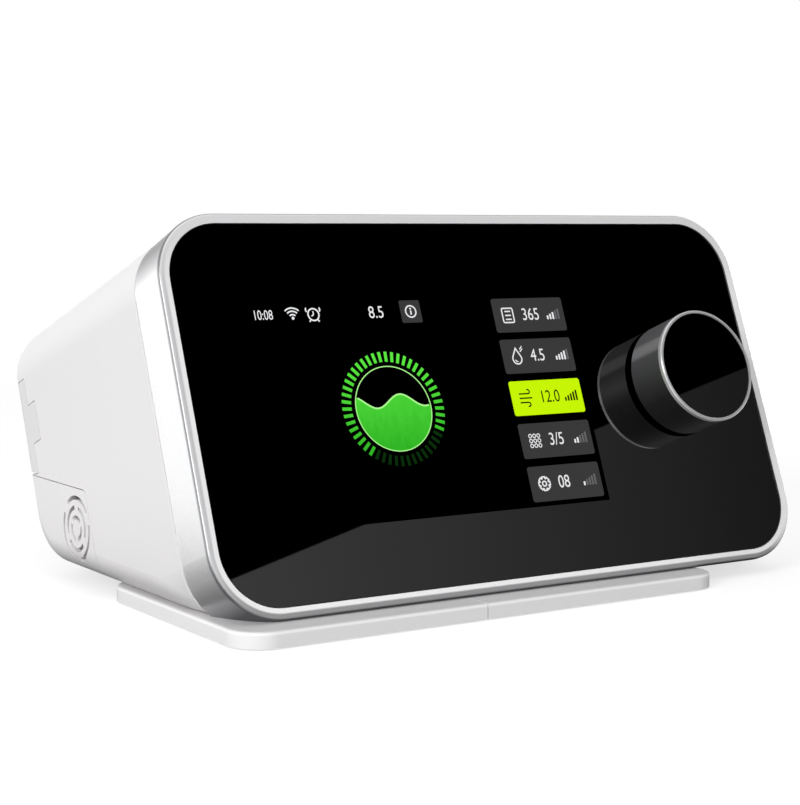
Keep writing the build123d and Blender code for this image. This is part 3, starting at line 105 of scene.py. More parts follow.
class NodeMaker:
    # adds nodes to one tree
    def __init__(self, tree):
        self.tree = tree
        tree.nodes.clear()

    def node(self, kind, settings=None, inputs=None, output=0):
        made = self.tree.nodes.new(kind)
        for name, value in (settings or {}).items():
            setattr(made, name, value)
        for name, value in (inputs or {}).items():
            if isinstance(value, Wire):
                self.tree.links.new(value.socket, made.inputs[name])
            elif value is not None:
                made.inputs[name].default_value = value
        return Wire(self, made.outputs[output]) if made.outputs else made

    def place(self):
        return self.node("ShaderNodeTexCoord", output="Object")

    def vector(self, operation, first, second=None, output=0):
        return self.node("ShaderNodeVectorMath", {"operation": operation}, {0: first, 1: second}, output)

    def along(self, direction, origin=(0, 0, 0), of=None):
        # distance along a direction, in metres
        away = self.vector("SUBTRACT", of or self.place(), tuple(origin))
        return self.vector("DOT_PRODUCT", away, tuple(direction), "Value")

    def waves(self, distance, pitch):
        # rises and falls once in each pitch
        return distance.sum("SINE", distance * (2 * pi / pitch))

    def ranged(self, value, low, high, first=0.0, last=1.0, smooth=False):
        # runs from first to last while the value runs from low to high
        settings = {"interpolation_type": "SMOOTHSTEP" if smooth else "LINEAR"}
        return self.node("ShaderNodeMapRange", settings, {"Value": value, 1: low, 2: high, 3: first, 4: last})

    def rayIs(self, kind):
        return self.node("ShaderNodeLightPath", output=f"Is {kind} Ray")

    def noise(self, scale, detail=2.0, roughness=0.5, of=None):
        inputs = {"Vector": of or self.place(), "Scale": scale, "Detail": detail, "Roughness": roughness}
        return self.node("ShaderNodeTexNoise", None, inputs)

    def stretched(self, scale, rotation=(0, 0, 0)):
        inputs = {"Vector": self.place(), "Rotation": rotation, "Scale": scale}
        return self.node("ShaderNodeMapping", None, inputs)

    def cells(self, scale, feature="F1", output=0):
        inputs = {"Vector": self.place(), "Scale": scale}
        return self.node("ShaderNodeTexVoronoi", {"feature": feature}, inputs, output)

    def bump(self, height, strength, distance):
        inputs = {"Height": height, "Strength": strength, "Distance": distance}
        return self.node("ShaderNodeBump", None, inputs)

    def blendColours(self, factor, first, second):
        inputs = {0: factor, 6: first, 7: second}
        return self.node("ShaderNodeMix", {"data_type": "RGBA"}, inputs, 2)


class Finish(NodeMaker):
    # a material with one principled shader
    def __init__(self, name):
        self.material = bpy.data.materials.new(name)
        self.material.use_nodes = True
        super().__init__(self.material.node_tree)

    def facing(self, direction):
        # 1 where the surface faces along the direction, -1 where it faces away
        return self.along(direction, of=self.node("ShaderNodeNewGeometry", output="Normal"))

    def facingUp(self, low, high):
        # 0 where the surface's upward lean is low or less, 1 where it is high or more
        return self.ranged(self.facing((0, 0, 1)), low, high)

    def beyondGlass(self):
        # how far outside the glass's outline a place on the face lies, in metres
        corner = glassLook["corner"] / 1000
        spans = []
        for direction, half in zip((faceRight, faceUp), glassLook["half"]):
            reach = self.along(direction, faceMiddle)
            apart = reach.sum("ABSOLUTE", reach)
            spans.append(apart.sum("MAXIMUM", apart - (half / 1000 - corner), 0.0))
        return (spans[0] ** 2 + spans[1] ** 2) ** 0.5 - corner

    def shade(self, **inputs):
        named = {name.replace("_", " "): value for name, value in inputs.items()}
        shader = self.node("ShaderNodeBsdfPrincipled", None, named)
        self.node("ShaderNodeOutputMaterial", None, {"Surface": shader})
        return self.material

    def shine(self, glow, strength=1.0, colour=(0, 0, 0, 1)):
        # a dull surface that gives off light of its own
        return self.shade(
            Base_Color=colour,
            Roughness=1.0,
            Specular_IOR_Level=0.0,
            Emission_Color=glow,
            Emission_Strength=strength,
        )


# Finishes of the casing

mouldedLook = {
    "gloss": 0.35,
    "cloudGloss": 0.06,
    "cloudScale": 90,
    "grain": 0.05,
    "grainScale": 2600.0,
    "grainDepth": 0.0001,
    "drift": 0.97,
    "driftScale": 14,
    # top: colour factor of the painted shade on upward faces; 1 paints none
    "top": 1.0,
    "topShadeRange": (0.5, 0.9),
}


def mouldedFinish(name, colour, **changes):
    # moulded plastic: slow colour drift, a fine spark-eroded grain, uneven gloss, and painted shade on
    # upward-facing tops
    look = mouldedLook | changes
    made = Finish(name)
    body = made.blendColours(made.noise(look["driftScale"], 3), shaded(colour, look["drift"]), shaded(colour))
    # painted shade: faces turned up take a darker colour
    if look["top"] < 1:
        body = made.blendColours(made.facingUp(*look["topShadeRange"]), body, shaded(colour, look["top"]))
    return made.shade(
        Base_Color=body,
        Roughness=look["gloss"] + look["cloudGloss"] * (made.noise(look["cloudScale"], 4) - 0.5),
        Normal=made.bump(made.noise(look["grainScale"], 2), look["grain"], look["grainDepth"]),
    )


ringLook = {
    "colour": (0.94, 0.94, 0.95),
    "lip": (0.92, 0.92, 0.925, 1),
    # the greys and the near-black below are painted shade on the lip, the round, the shoulders and the
    # underside
    "lipTopShade": (0.76, 0.76, 0.765, 1),
    "outer": (0.6, 0.6, 0.61, 1),
    "outerShadeLow": (0.3, 0.3, 0.305, 1),
    "edge": (0.3, 0.3, 0.31, 1),
    "shoulderShade": (0.3, 0.3, 0.31, 1),
    "underside": (0.1, 0.1, 0.108, 1),
    "flakeScale": 6000.0,
    "flakeDark": 0.94,
    "flakePale": 1.05,
    "flakeGloss": 0.05,
    "metal": 0.74,
    "lipMetal": 0.1,
    "gloss": 0.3,
    "grain": 0.03,
    "grainScale": 1800,
    "grainDepth": 0.0001,
}
ringZones = {
    # in metres, in front of the glass, outside it, up from its middle and right of its middle
    "lip": (0.0001, 0.0003),
    "edge": (-0.0013, -0.0004),
    "outer": (0.0013, 0.0018),
    "low": (-0.042, -0.055),
    "high": (0.03, 0.052),
    "right": (0.09, 0.1),
    # upward lean of the surface
    "side": (-0.8, -0.3),
    "shoulderShade": (0.1, 0.55),
    "top": (0.7, 0.92),
}


def ringFinish(name, look, zones):
    # satin silver side band with fine flakes and a pale lip; painted shade below, at its shoulders and on the
    # round beside the lip
    made = Finish(name)
    out = made.along(faceOut, faceMiddle)
    flakes = made.cells(look["flakeScale"], output="Color")
    glint = made.node("ShaderNodeSeparateColor", None, {"Color": flakes})
    darkFlake, paleFlake = [shaded(look["colour"], look[key]) for key in ("flakeDark", "flakePale")]
    silver = made.blendColours(glint, darkFlake, paleFlake)
    # painted shade: the round beside the lip takes a grey colour
    side = made.blendColours(made.ranged(out, *zones["edge"]), silver, look["edge"])
    # painted shade: faces leaning up at the band's shoulders, short of the very top, take a grey colour
    shoulderShade = made.facingUp(*zones["shoulderShade"]) * (1 - made.facingUp(*zones["top"]))
    band = made.blendColours(shoulderShade, side, look["shoulderShade"])
    # painted shade: faces turned down take a near-black colour
    band = made.blendColours(made.facingUp(*zones["side"]), look["underside"], band)

    # the lip: an outer zone of painted shade, darker towards the bottom and left out at the right; at the top
    # the whole lip takes a painted shade instead
    up = made.along(faceUp, faceMiddle)
    right = made.ranged(made.along(faceRight, faceMiddle), *zones["right"])
    # painted shade: the lip's outer zone greyer, as a chamfer's shade, and darker towards the bottom
    outer = made.ranged(made.beyondGlass(), *zones["outer"]) * (1 - right)
    rim = made.blendColours(made.ranged(up, *zones["low"]), look["outer"], look["outerShadeLow"])
    front = made.blendColours(outer, look["lip"], rim)
    # painted shade: grey over the whole lip towards the top
    front = made.blendColours(made.ranged(up, *zones["high"]), front, look["lipTopShade"])
    lip = made.ranged(out, *zones["lip"])
    return made.shade(
        Base_Color=made.blendColours(lip, band, front),
        Metallic=look["metal"] * (1 - (1 - look["lipMetal"]) * lip),
        Roughness=look["gloss"] + look["flakeGloss"] * glint,
        Normal=made.bump(made.noise(look["grainScale"], 2), look["grain"], look["grainDepth"]),
    )


glassLook = {
    "half": (100, 54),
    "corner": 16.4,
    "windowAcross": (-77.8, 32.0),
    "windowUp": (-34.0, 32.4),
    "black": (0.0, 0.0, 0.0, 1),
    "gloss": 0.6,
    "coatGloss": 0.012,
    "coatIndex": 2.6,
    "smear": 0.004,
    "smearScale": 26,
    "smearDepth": 0.0002,
}


def glassFinish(name, look):
    # black printed glass: a clear polished face everywhere but over the display window
    made = Finish(name)
    across = made.along(faceRight, faceMiddle)
    up = made.along(faceUp, faceMiddle)
    left, right = [value / 1000 for value in look["windowAcross"]]
    low, high = [value / 1000 for value in look["windowUp"]]
    window = (across > left) * (across < right) * (up > low) * (up < high)
    return made.shade(
        Base_Color=look["black"],
        Roughness=look["gloss"],
        Coat_Weight=1 - window,
        Coat_Roughness=look["coatGloss"],
        Coat_IOR=look["coatIndex"],
        Specular_IOR_Level=0.0,
        Normal=made.bump(made.noise(look["smearScale"], 3), look["smear"], look["smearDepth"]),
    )


knobLook = {
    # low and high: painted shade from down-facing to up-facing sides; streak: the colour of a painted
    # highlight
    "low": (0.022, 0.022, 0.024, 1),
    "high": (0.21, 0.21, 0.22, 1),
    "shadeRange": (-0.5, 0.8),
    "streak": (0.34, 0.34, 0.35, 1),
    "highlightWay": (-0.88, 0.17, 0.444),
    "highlightRange": (0.985, 1.0),
    "cloudScale": 160,
    "cloudShade": 0.08,
    "cloudGloss": 0.05,
    "metal": 0.5,
    "gloss": 0.36,
    "line": 0.06,
    "linePitch": 0.00035,
    "lineDepth": 0.00005,
}


def knobFinish(name, look):
    # dark anodised side with fine turned lines round the knob's axis, painted shade darker towards the bottom
    # and a painted highlight streak on the upper left
    made = Finish(name)
    cloud = made.noise(look["cloudScale"], 3)
    # painted shade: the side paler where it faces up
    upward = made.facingUp(*look["shadeRange"]) - look["cloudShade"] * cloud
    # painted highlight: a pale streak where the side faces up and left
    streak = made.ranged(made.facing(look["highlightWay"]), *look["highlightRange"], smooth=True)
    lines = made.waves(made.along(faceOut, faceMiddle), look["linePitch"])
    paintedShade = made.blendColours(upward, look["low"], look["high"])
    return made.shade(
        Base_Color=made.blendColours(streak, paintedShade, look["streak"]),
        Metallic=look["metal"],
        Roughness=look["gloss"] + look["cloudGloss"] * cloud,
        Normal=made.bump(lines, look["line"], look["lineDepth"]),
    )


metalLook = {
    "metal": 1.0,
    "gloss": 0.3,
    "cloudScale": 120,
    "cloudDark": 0.85,
    "cloudGloss": 0.12,
    "brush": 0.08,
    "brushScale": 250.0,
    "brushStretch": (1, 1, 14),
    "brushDepth": 0.00005,
}


def metalFinish(name, colour, **changes):
    # plain metal with brushed lines and a slightly uneven shine
    look = metalLook | changes
    made = Finish(name)
    brush = made.noise(look["brushScale"], 4, 0.6, of=made.stretched(look["brushStretch"]))
    cloud = made.noise(look["cloudScale"], 3)
    return made.shade(
        Base_Color=made.blendColours(cloud, shaded(colour, look["cloudDark"]), shaded(colour)),
        Metallic=look["metal"],
        Roughness=look["gloss"] + look["cloudGloss"] * cloud,
        Normal=made.bump(brush, look["brush"], look["brushDepth"]),
    )


rubberLook = {
    "gloss": 0.7,
    "grain": 0.25,
    "grainScale": 3200.0,
    "grainGloss": 0.1,
    "grainDepth": 0.0001,
    "wearScale": 60,
    "wearPale": 1.5,
    "wearLift": 0.01,
}


def rubberFinish(name, colour, **changes):
    # soft rubber, paler where it is worn
    look = rubberLook | changes
    made = Finish(name)
    grain = made.noise(look["grainScale"], 3, 0.6)
    worn = shaded(colour, look["wearPale"], look["wearLift"])
    return made.shade(
        Base_Color=made.blendColours(made.noise(look["wearScale"], 4), shaded(colour), worn),
        Roughness=look["gloss"] + look["grainGloss"] * grain,
        Normal=made.bump(grain, look["grain"], look["grainDepth"]),
    )


fleeceLook = {
    "scale": 900.0,
    "depth": 0.0006,
    "bump": 0.6,
    "dark": 0.45,
    "cellShade": 2,
    "fibreShade": 0.5,
    "fineness": 3,
    "gloss": 0.95,
}


def fleeceFinish(name, colour, **changes):
    # fibres or open foam cells
    look = fleeceLook | changes
    made = Finish(name)
    cells = made.cells(look["scale"], "DISTANCE_TO_EDGE")
    fibres = made.noise(look["scale"] * look["fineness"], 4, 0.7)
    shade = cells * look["cellShade"] + fibres * look["fibreShade"]
    return made.shade(
        Base_Color=made.blendColours(shade, shaded(colour, look["dark"]), shaded(colour)),
        Roughness=look["gloss"],
        Normal=made.bump(cells + fibres, look["bump"], look["depth"]),
    )


boardLook = {
    "mask": (0.01, 0.13, 0.06, 1),
    "track": (0.02, 0.24, 0.1, 1),
    "pad": (0.8, 0.62, 0.3, 1),
    "trackGrid": (0.0008, 0.0008, 0.0008),
    "trackScale": 180,
    "trackRange": (0.5, 0.56),
    "padScale": 260.0,
    "padReach": 0.16,
    "padMetal": 0.8,
    "gloss": 0.35,
    "trackGloss": 0.1,
    "bump": 0.3,
    "depth": 0.00008,
}


def boardFinish(name, look):
    # solder mask with copper tracks showing through, and drilled pads
    made = Finish(name)
    lanes = made.noise(look["trackScale"], 1, 0.4, of=made.vector("SNAP", made.place(), look["trackGrid"]))
    low, high = look["trackRange"]
    tracks = (lanes > low) * (lanes < high)
    pads = made.cells(look["padScale"]) < look["padReach"]
    masked = made.blendColours(tracks, look["mask"], look["track"])
    return made.shade(
        Base_Color=made.blendColours(pads, masked, look["pad"]),
        Metallic=pads * look["padMetal"],
        Roughness=look["gloss"] + look["trackGloss"] * lanes,
        Normal=made.bump(tracks + pads, look["bump"], look["depth"]),
    )


clearLook = {
    "colour": (0.72, 0.82, 0.88, 1),
    "cover": 0.34,
    "gloss": 0.08,
    "cloudScale": 45,
    "cloudGloss": 0.08,
    "cloudCover": 0.12,
    "ripple": 0.04,
    "rippleScale": 240,
    "rippleDepth": 0.0002,
}


def clearFinish(name, look):
    # see-through moulding, a little cloudy in places
    made = Finish(name)
    cloud = made.noise(look["cloudScale"], 3)
    return made.shade(
        Base_Color=look["colour"],
        Roughness=look["gloss"] + look["cloudGloss"] * cloud,
        Alpha=look["cover"] + look["cloudCover"] * cloud,
        Normal=made.bump(made.noise(look["rippleScale"], 2), look["ripple"], look["rippleDepth"]),
    )


ribbonLook = {
    "film": (0.5, 0.22, 0.04, 1),
    "copper": (0.35, 0.12, 0.03, 1),
    "linePitch": 0.0012,
    "gloss": 0.3,
    "bump": 0.2,
    "depth": 0.00005,
}


def ribbonFinish(name, look):
    # amber film over parallel copper lines
    made = Finish(name)
    lines = made.waves(made.along(faceRight), look["linePitch"]) > 0
    return made.shade(
        Base_Color=made.blendColours(lines, look["film"], look["copper"]),
        Roughness=look["gloss"],
        Normal=made.bump(lines, look["bump"], look["depth"]),
    )


finishes = {
    "glass_black": glassFinish("glassBlack", glassLook),
    "ring_silver": ringFinish("ringSilver", ringLook, ringZones),
    "display": mouldedFinish("displayBlack", (0.006, 0.006, 0.007), gloss=0.4),
    "shell_white": mouldedFinish("shellWhite", (0.86, 0.845, 0.85), gloss=0.32, grain=0.03),
    "flap_grey": mouldedFinish("flapGrey", (0.8, 0.8, 0.8), gloss=0.5),
    "port_grey": mouldedFinish("portGrey", (0.52, 0.53, 0.54), gloss=0.5),
    "knob_dark": knobFinish("knobDark", knobLook),
    "knob_bright": metalFinish("knobBright", (0.9, 0.9, 0.92), gloss=0.24, brush=0.02, metal=0.6),
    # foot_grey: upward faces darker by the top factor, a painted shade
    "foot_grey": mouldedFinish("footGrey", (0.9, 0.89, 0.9), gloss=0.5, grain=0.02, top=0.74),
    "rubber_dark": rubberFinish("rubberDark", (0.03, 0.03, 0.03)),
    "felt_dark": fleeceFinish("feltDark", (0.05, 0.05, 0.055), scale=2200.0, depth=0.0002),
    "inner_grey": mouldedFinish("innerGrey", (0.16, 0.16, 0.17), gloss=0.5, grain=0.12, grainScale=1500.0),
    "board_green": boardFinish("boardGreen", boardLook),
    "chip_black": mouldedFinish("chipBlack", (0.02, 0.02, 0.022), gloss=0.55, grain=0.2, grainScale=4000.0),
    "ribbon_amber": ribbonFinish("ribbonAmber", ribbonLook),
    "steel": metalFinish("steel", (0.6, 0.6, 0.61), gloss=0.28),
    "alloy": metalFinish("alloy", (0.78, 0.78, 0.8), gloss=0.32, brush=0.15),
    "magnet_dark": metalFinish("magnetDark", (0.12, 0.12, 0.13), gloss=0.4, metal=0.7),
    "filter_white": fleeceFinish("filterWhite", (0.85, 0.85, 0.83)),
    "foam_grey": fleeceFinish("foamGrey", (0.2, 0.2, 0.21), scale=520.0, depth=0.0012),
    "tank_clear": clearFinish("tankClear", clearLook),
    "seal_clear": rubberFinish("sealClear", (0.55, 0.6, 0.65), gloss=0.45),
    "lead_black": rubberFinish("leadBlack", (0.02, 0.02, 0.02), gloss=0.45),
}
for part in frame["record"]["subparts"]:
    for socket in frame["nodes"][part["node"]].material_slots:
        socket.material = finishes[part["material_slot"]]
print("finishes on the casing's nodes:", len(finishes))


# Display: thin lit shapes on the glass

litLook = {"unevenScale": 500, "dim": 0.97}


def litFinish(name, colour, strength=1.0):
    # a plain lit colour, very slightly uneven
    made = Finish(name)
    uneven = made.noise(litLook["unevenScale"], 2)
    return made.shine(made.blendColours(uneven, shaded(colour, litLook["dim"]), shaded(colour)), strength)


# how far the shapes stand off the glass, in millimetres
layers = {"low": 0.02, "high": 0.08, "figures": 0.09, "thick": 0.04}


class Drawing:
    # flat shapes on the face, in millimetres right and up from its middle
    mitreLimit = 0.5

    def __init__(self):
        self.mesh = bmesh.new()

    def fill(self, points):
        corners = [self.mesh.verts.new((x, y, 0)) for x, y in points]
        return self.mesh.faces.new(corners)

    def line(self, points, width, closed=False):
        # a ribbon along points, with mitred corners
        points = [Vector(point) for point in points]
        count = len(points)
        sides = []
        for i, point in enumerate(points):
            before = points[(i - 1) % count] if closed or i else point
            after = points[(i + 1) % count] if closed or i < count - 1 else point
            ahead = (after - point).normalized() if after != point else (point - before).normalized()
            behind = (point - before).normalized() if before != point else ahead
            across = Vector((-(ahead + behind).y, (ahead + behind).x)).normalized()
            reach = width / 2 / max(self.mitreLimit, across.dot(Vector((-ahead.y, ahead.x))))
            sides.append((point + across * reach, point - across * reach))
        verts = [[self.mesh.verts.new((side.x, side.y, 0)) for side in pair] for pair in sides]
        for i in range(count if closed else count - 1):
            first, second = verts[i], verts[(i + 1) % count]
            self.mesh.faces.new((first[0], first[1], second[1], second[0]))

    def arc(self, centre, radius, width, start=0.0, turn=360.0, steps=40):
        whole = turn == 360
        count = steps if whole else steps + 1
        angles = [radians(start + turn * i / steps) for i in range(count)]
        self.line([(centre[0] + radius * cos(a), centre[1] + radius * sin(a)) for a in angles], width, whole)

    def disc(self, centre, radius, steps=24):
        angles = [2 * pi * i / steps for i in range(steps)]
        self.fill([(centre[0] + radius * cos(a), centre[1] + radius * sin(a)) for a in angles])

    def tile(self, left, right, low, high, corner):
        self.fill(roundedBox(left, right, low, high, corner))

    def make(self, name, finish, lift=layers["low"], body="casing", lay=onFace):
        # gives the shapes a thickness and lays them on the face, or wherever lay puts them
        raised = bmesh.ops.extrude_face_region(self.mesh, geom=self.mesh.faces[:])
        tops = [item for item in raised["geom"] if isinstance(item, bmesh.types.BMVert)]
        bmesh.ops.translate(self.mesh, verts=tops, vec=(0, 0, layers["thick"]))
        bmesh.ops.recalc_face_normals(self.mesh, faces=self.mesh.faces[:])
        for vert in self.mesh.verts:
            vert.co = lay(vert.co.x, vert.co.y, lift + vert.co.z)
        data = bpy.data.meshes.new(name)
        self.mesh.to_mesh(data)
        self.mesh.free()
        data.materials.append(finish)
        piece = bpy.data.objects.new(name, data)
        bpy.context.collection.objects.link(piece)
        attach(piece, body)


def roundedBox(left, right, low, high, corner, steps=6):
    points = []
    for x, y, start in ((right, high, 0), (left, high, 90), (left, low, 180), (right, low, 270)):
        centreX = x - corner if x == right else x + corner
        centreY = y - corner if y == high else y + corner
        for i in range(steps + 1):
            angle = radians(start + 90 * i / steps)
            points.append((centreX + corner * cos(angle), centreY + corner * sin(angle)))
    return points


figureShape = {"sizeOverHeight": 1.38, "thick": 0.01, "narrow": 0.82}


def writeFigures(name, text, left, middle, height, finish, narrow=figureShape["narrow"]):
    # plain figures from the built-in font, lying on the face
    curve = bpy.data.curves.new(name, "FONT")
    curve.body = text
    curve.size = height * figureShape["sizeOverHeight"] / 1000
    curve.align_x = "LEFT"
    curve.align_y = "CENTER"
    curve.extrude = figureShape["thick"] / 1000
    curve.materials.append(finish)
    piece = bpy.data.objects.new(name, curve)
    bpy.context.collection.objects.link(piece)
    place = Matrix.Translation(onFace(left, middle, layers["figures"]))
    turn = Matrix((faceRight, faceUp, faceOut)).transposed().to_4x4()
    piece.matrix_world = place @ turn @ Matrix.Diagonal((narrow, 1, 1, 1))
    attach(piece, "casing")


screenWhite = litFinish("screenWhite", screenTone(236, 236, 238))
screenGrey = litFinish("screenGrey", screenTone(58, 58, 59))
screenLime = litFinish("screenLime", screenTone(200, 247, 8))
screenInk = litFinish("screenInk", screenTone(28, 34, 6))

menu = {
    "across": (4.0, 30.35),
    "tops": (30.2, 17.3, 4.3, -8.85, -21.95),
    "height": 10.65,
    "corner": 0.8,
    "lit": 2,
    "figuresAt": 14.3,
    "figures": ("365", "4.5", "12.0", "3/5", "08"),
    "figureHeight": 3.9,
}
middles = [top - menu["height"] / 2 for top in menu["tops"]]
tiles = Drawing()
litTile = Drawing()
for row, top in enumerate(menu["tops"]):
    drawn = litTile if row == menu["lit"] else tiles
    drawn.tile(*menu["across"], top - menu["height"], top, menu["corner"])
tiles.make("menuTiles", screenGrey)
litTile.make("menuTileLit", screenLime)

icons = Drawing()
litIcon = Drawing()
iconAt = 9.2
stroke = 0.42
fineStroke = stroke * 0.8

# list in a frame
sheet = {"half": (1.98, 2.25), "corner": 0.5, "rows": (-1.25, 0, 1.25), "rowAcross": (-0.99, 1.08)}
x, y = iconAt, middles[0]
halfX, halfY = sheet["half"]
icons.line(roundedBox(x - halfX, x + halfX, y - halfY, y + halfY, sheet["corner"]), stroke, True)
for step in sheet["rows"]:
    icons.line([(x + across, y + step) for across in sheet["rowAcross"]], stroke)

# water drop with a highlight and two short dashes
drop = {
    "radius": 1.62,
    "sink": 0.75,
    "tip": 2.5,
    "turns": range(-210, 31, 12),
    "shine": 0.85,
    "shineArc": (200, 80, 8),
}
dashes = {"from": (1.5, 1.4), "to": (2.5, 2.3), "lifts": (0, 0.77)}
y = middles[1]
low = y - drop["sink"]
turns = [radians(turn) for turn in drop["turns"]]
belly = [(x + drop["radius"] * cos(turn), low + drop["radius"] * sin(turn)) for turn in turns]
icons.line(belly + [(x, y + drop["tip"])], stroke, True)
icons.arc((x, low), drop["shine"], fineStroke, *drop["shineArc"])
for lift in dashes["lifts"]:
    icons.line([(x + across, y + up + lift) for across, up in (dashes["from"], dashes["to"])], fineStroke)

# three streams of air, the outer two with a curl
air = {"step": 1.35, "start": -2.3, "ends": (0.7, 1.7, 1.1), "curl": 0.62, "curlTurn": 210, "tip": 0.6}
y = middles[2]
for step, end in zip((-1, 0, 1), air["ends"]):
    level = y + step * air["step"]
    litIcon.line([(x + air["start"], level), (x + end, level)], stroke)
    if step:
        middle = (x + end, level + step * air["curl"])
        litIcon.arc(middle, air["curl"], stroke, -90 * step, air["curlTurn"] * step, 14)
    else:
        litIcon.line([(x + end, level), (x + end + air["tip"], level)], stroke)

# grid of rings
rings = {"steps": (-1.5, 0, 1.5), "radius": 0.54, "stroke": 0.27}
y = middles[3]
for across in rings["steps"]:
    for up in rings["steps"]:
        icons.arc((x + across, y + up), rings["radius"], rings["stroke"], steps=14)

# gear
gear = {"teeth": 8, "outline": ((-14, 2.1), (14, 2.1), (19, 1.62), (26, 1.62)), "hub": 0.72}
y = middles[4]
outline = []
for tooth in range(gear["teeth"]):
    for angle, radius in gear["outline"]:
        turn = radians(tooth * 360 / gear["teeth"] + angle)
        outline.append((x + radius * cos(turn), y + radius * sin(turn)))
icons.line(outline, stroke, True)
icons.arc((x, y), gear["hub"], stroke, steps=20)

# rising level bars at the end of each tile, the reached ones bright
levelBars = {
    "reached": (3, 4, 5, 2, 1),
    "count": 5,
    "start": 23.6,
    "step": 1.05,
    "width": 0.62,
    "foot": -1.6,
    "first": 1.2,
    "rise": 0.52,
    "corner": 0.15,
}
reached = Drawing()
litReached = Drawing()
unreached = Drawing()
for row, levels in enumerate(levelBars["reached"]):
    low = middles[row] + levelBars["foot"]
    for step in range(levelBars["count"]):
        left = levelBars["start"] + step * levelBars["step"]
        high = low + levelBars["first"] + step * levelBars["rise"]
        drawn = unreached if step >= levels else litReached if row == menu["lit"] else reached
        drawn.tile(left, left + levelBars["width"], low, high, levelBars["corner"])
reached.make("menuLevels", screenWhite, layers["high"])
litReached.make("menuLevelsLit", screenInk, layers["high"])
unreached.make("menuLevelsDim", litFinish("screenDim", screenTone(104, 104, 106)), layers["high"])
icons.make("menuIcons", screenWhite, layers["high"])
litIcon.make("menuIconLit", screenInk, layers["high"])
for row, text in enumerate(menu["figures"]):
    ink = screenInk if row == menu["lit"] else screenWhite
    writeFigures(f"menuFigures{row + 1}", text, menu["figuresAt"], middles[row], menu["figureHeight"], ink)
print("menu drawn:", len(menu["tops"]), "tiles")

# status line: clock, wireless arcs, alarm clock, reading and marker box
marks = Drawing()
wireless = {
    "at": (-64.45, 25.7),
    "dot": 0.45,
    "dotLift": 0.3,
    "radii": (1.35, 2.35, 3.3),
    "arc": (48, 84, 12),
}
x, y = wireless["at"]
marks.disc((x, y + wireless["dotLift"]), wireless["dot"])
for radius in wireless["radii"]:
    marks.arc((x, y), radius, stroke, *wireless["arc"])

alarm = {
    "at": (-57.7, 26.9),
    "radius": 1.75,
    "hands": ((0, 1.0), (0, 0), (-0.7, -0.5)),
    "handStroke": 0.34,
    "bell": (1.5, 1.45),
    "bellRadius": 0.8,
    "bellArcs": {-1: (135, 95, 8), 1: (45, -95, 8)},
    "foot": ((1.1, -1.5), (1.6, -2.1)),
    "footStroke": 0.4,
}
x, y = alarm["at"]
marks.arc((x, y), alarm["radius"], stroke)
marks.line([(x + across, y + up) for across, up in alarm["hands"]], alarm["handStroke"])
for side, arc in alarm["bellArcs"].items():
    bell = (x + side * alarm["bell"][0], y + alarm["bell"][1])
    marks.arc(bell, alarm["bellRadius"], alarm["footStroke"], *arc)
    marks.line([(x + side * across, y + up) for across, up in alarm["foot"]], alarm["footStroke"])

marker = {
    "across": (-28.6, -21.6),
    "up": (23.6, 30.4),
    "corner": 0.5,
    "radius": 1.75,
    "stem": (-0.95, 0.3),
    "stemStroke": 0.46,
    "dot": 0.3,
    "dotLift": 0.85,
}
x = sum(marker["across"]) / 2
y = sum(marker["up"]) / 2
marks.arc((x, y), marker["radius"], stroke)
marks.line([(x, y + up) for up in marker["stem"]], marker["stemStroke"])
marks.disc((x, y + marker["dotLift"]), marker["dot"], 14)
marks.make("statusMarks", screenWhite, layers["high"])
box = Drawing()
box.tile(*marker["across"], *marker["up"], marker["corner"])
box.make("statusBox", screenGrey)

status = {
    "statusClock": {"text": "10:08", "left": -77.0, "middle": 27.0, "height": 2.9, "narrow": 0.72},
    "statusReading": {"text": "8.5", "left": -39.6, "middle": 26.9, "height": 3.7, "narrow": 0.85},
}
for name, figures in status.items():
    writeFigures(name, finish=screenWhite, **figures)

# breathing gauge: a ring of bars round a bowl with a wave
gauge = {
    "middle": (-37.4, -1.7),
    "barInner": 13.9,
    "barOuter": 16.9,
    "barWidth": 0.95,
    "bars": 48,
    "firstBar": -130,
    "share": 0.72,
    "bowl": 12.4,
    "bowlLine": 0.28,
    "bowlLineOut": 0.1,
    "waveSteps": 48,
    "waveHeight": 1.9,
    "waveLevel": 2.2,
    "waveTurns": 1.55,
    "waveStart": 0.5,
    "waveLine": 0.45,
    "reach": 0.995,
    "rimSteps": 64,
    "streak": 0.35,
    "streakScale": 700,
    "streakTurn": (0, 0.6, 0),
    "streakStretch": (1, 1, 0.2),
}


def gaugeFinish(name, low, high):
    # green that brightens up the face, with faint slanting streaks
    made = Finish(name)
    foot = faceMiddle + faceUp * (gauge["middle"][1] - gauge["barOuter"]) / 1000
    height = made.along(faceUp, foot) / (2 * gauge["barOuter"] / 1000)
    slanted = made.stretched(gauge["streakStretch"], gauge["streakTurn"])
    streaks = made.noise(gauge["streakScale"], 3, 0.6, of=slanted)
    return made.shine(made.blendColours(height + gauge["streak"] * (streaks - 0.5), low, high))


gaugeGreen = gaugeFinish("gaugeGreen", screenTone(34, 168, 30), screenTone(92, 234, 66))
gaugeDim = gaugeFinish("gaugeDim", screenTone(10, 44, 12), screenTone(16, 58, 16))
gaugePale = litFinish("gaugePale", screenTone(178, 255, 150))
bars = Drawing()
dimBars = Drawing()
middleX, middleY = gauge["middle"]
for i in range(gauge["bars"]):
    turn = radians(gauge["firstBar"] - 360 * i / gauge["bars"])
    drawn = bars if i < gauge["bars"] * gauge["share"] else dimBars
    radii = (gauge["barInner"], gauge["barOuter"])
    ends = [(middleX + radius * cos(turn), middleY + radius * sin(turn)) for radius in radii]
    drawn.line(ends, gauge["barWidth"])
bars.make("gaugeBars", gaugeGreen)
dimBars.make("gaugeBarsDim", gaugeDim)

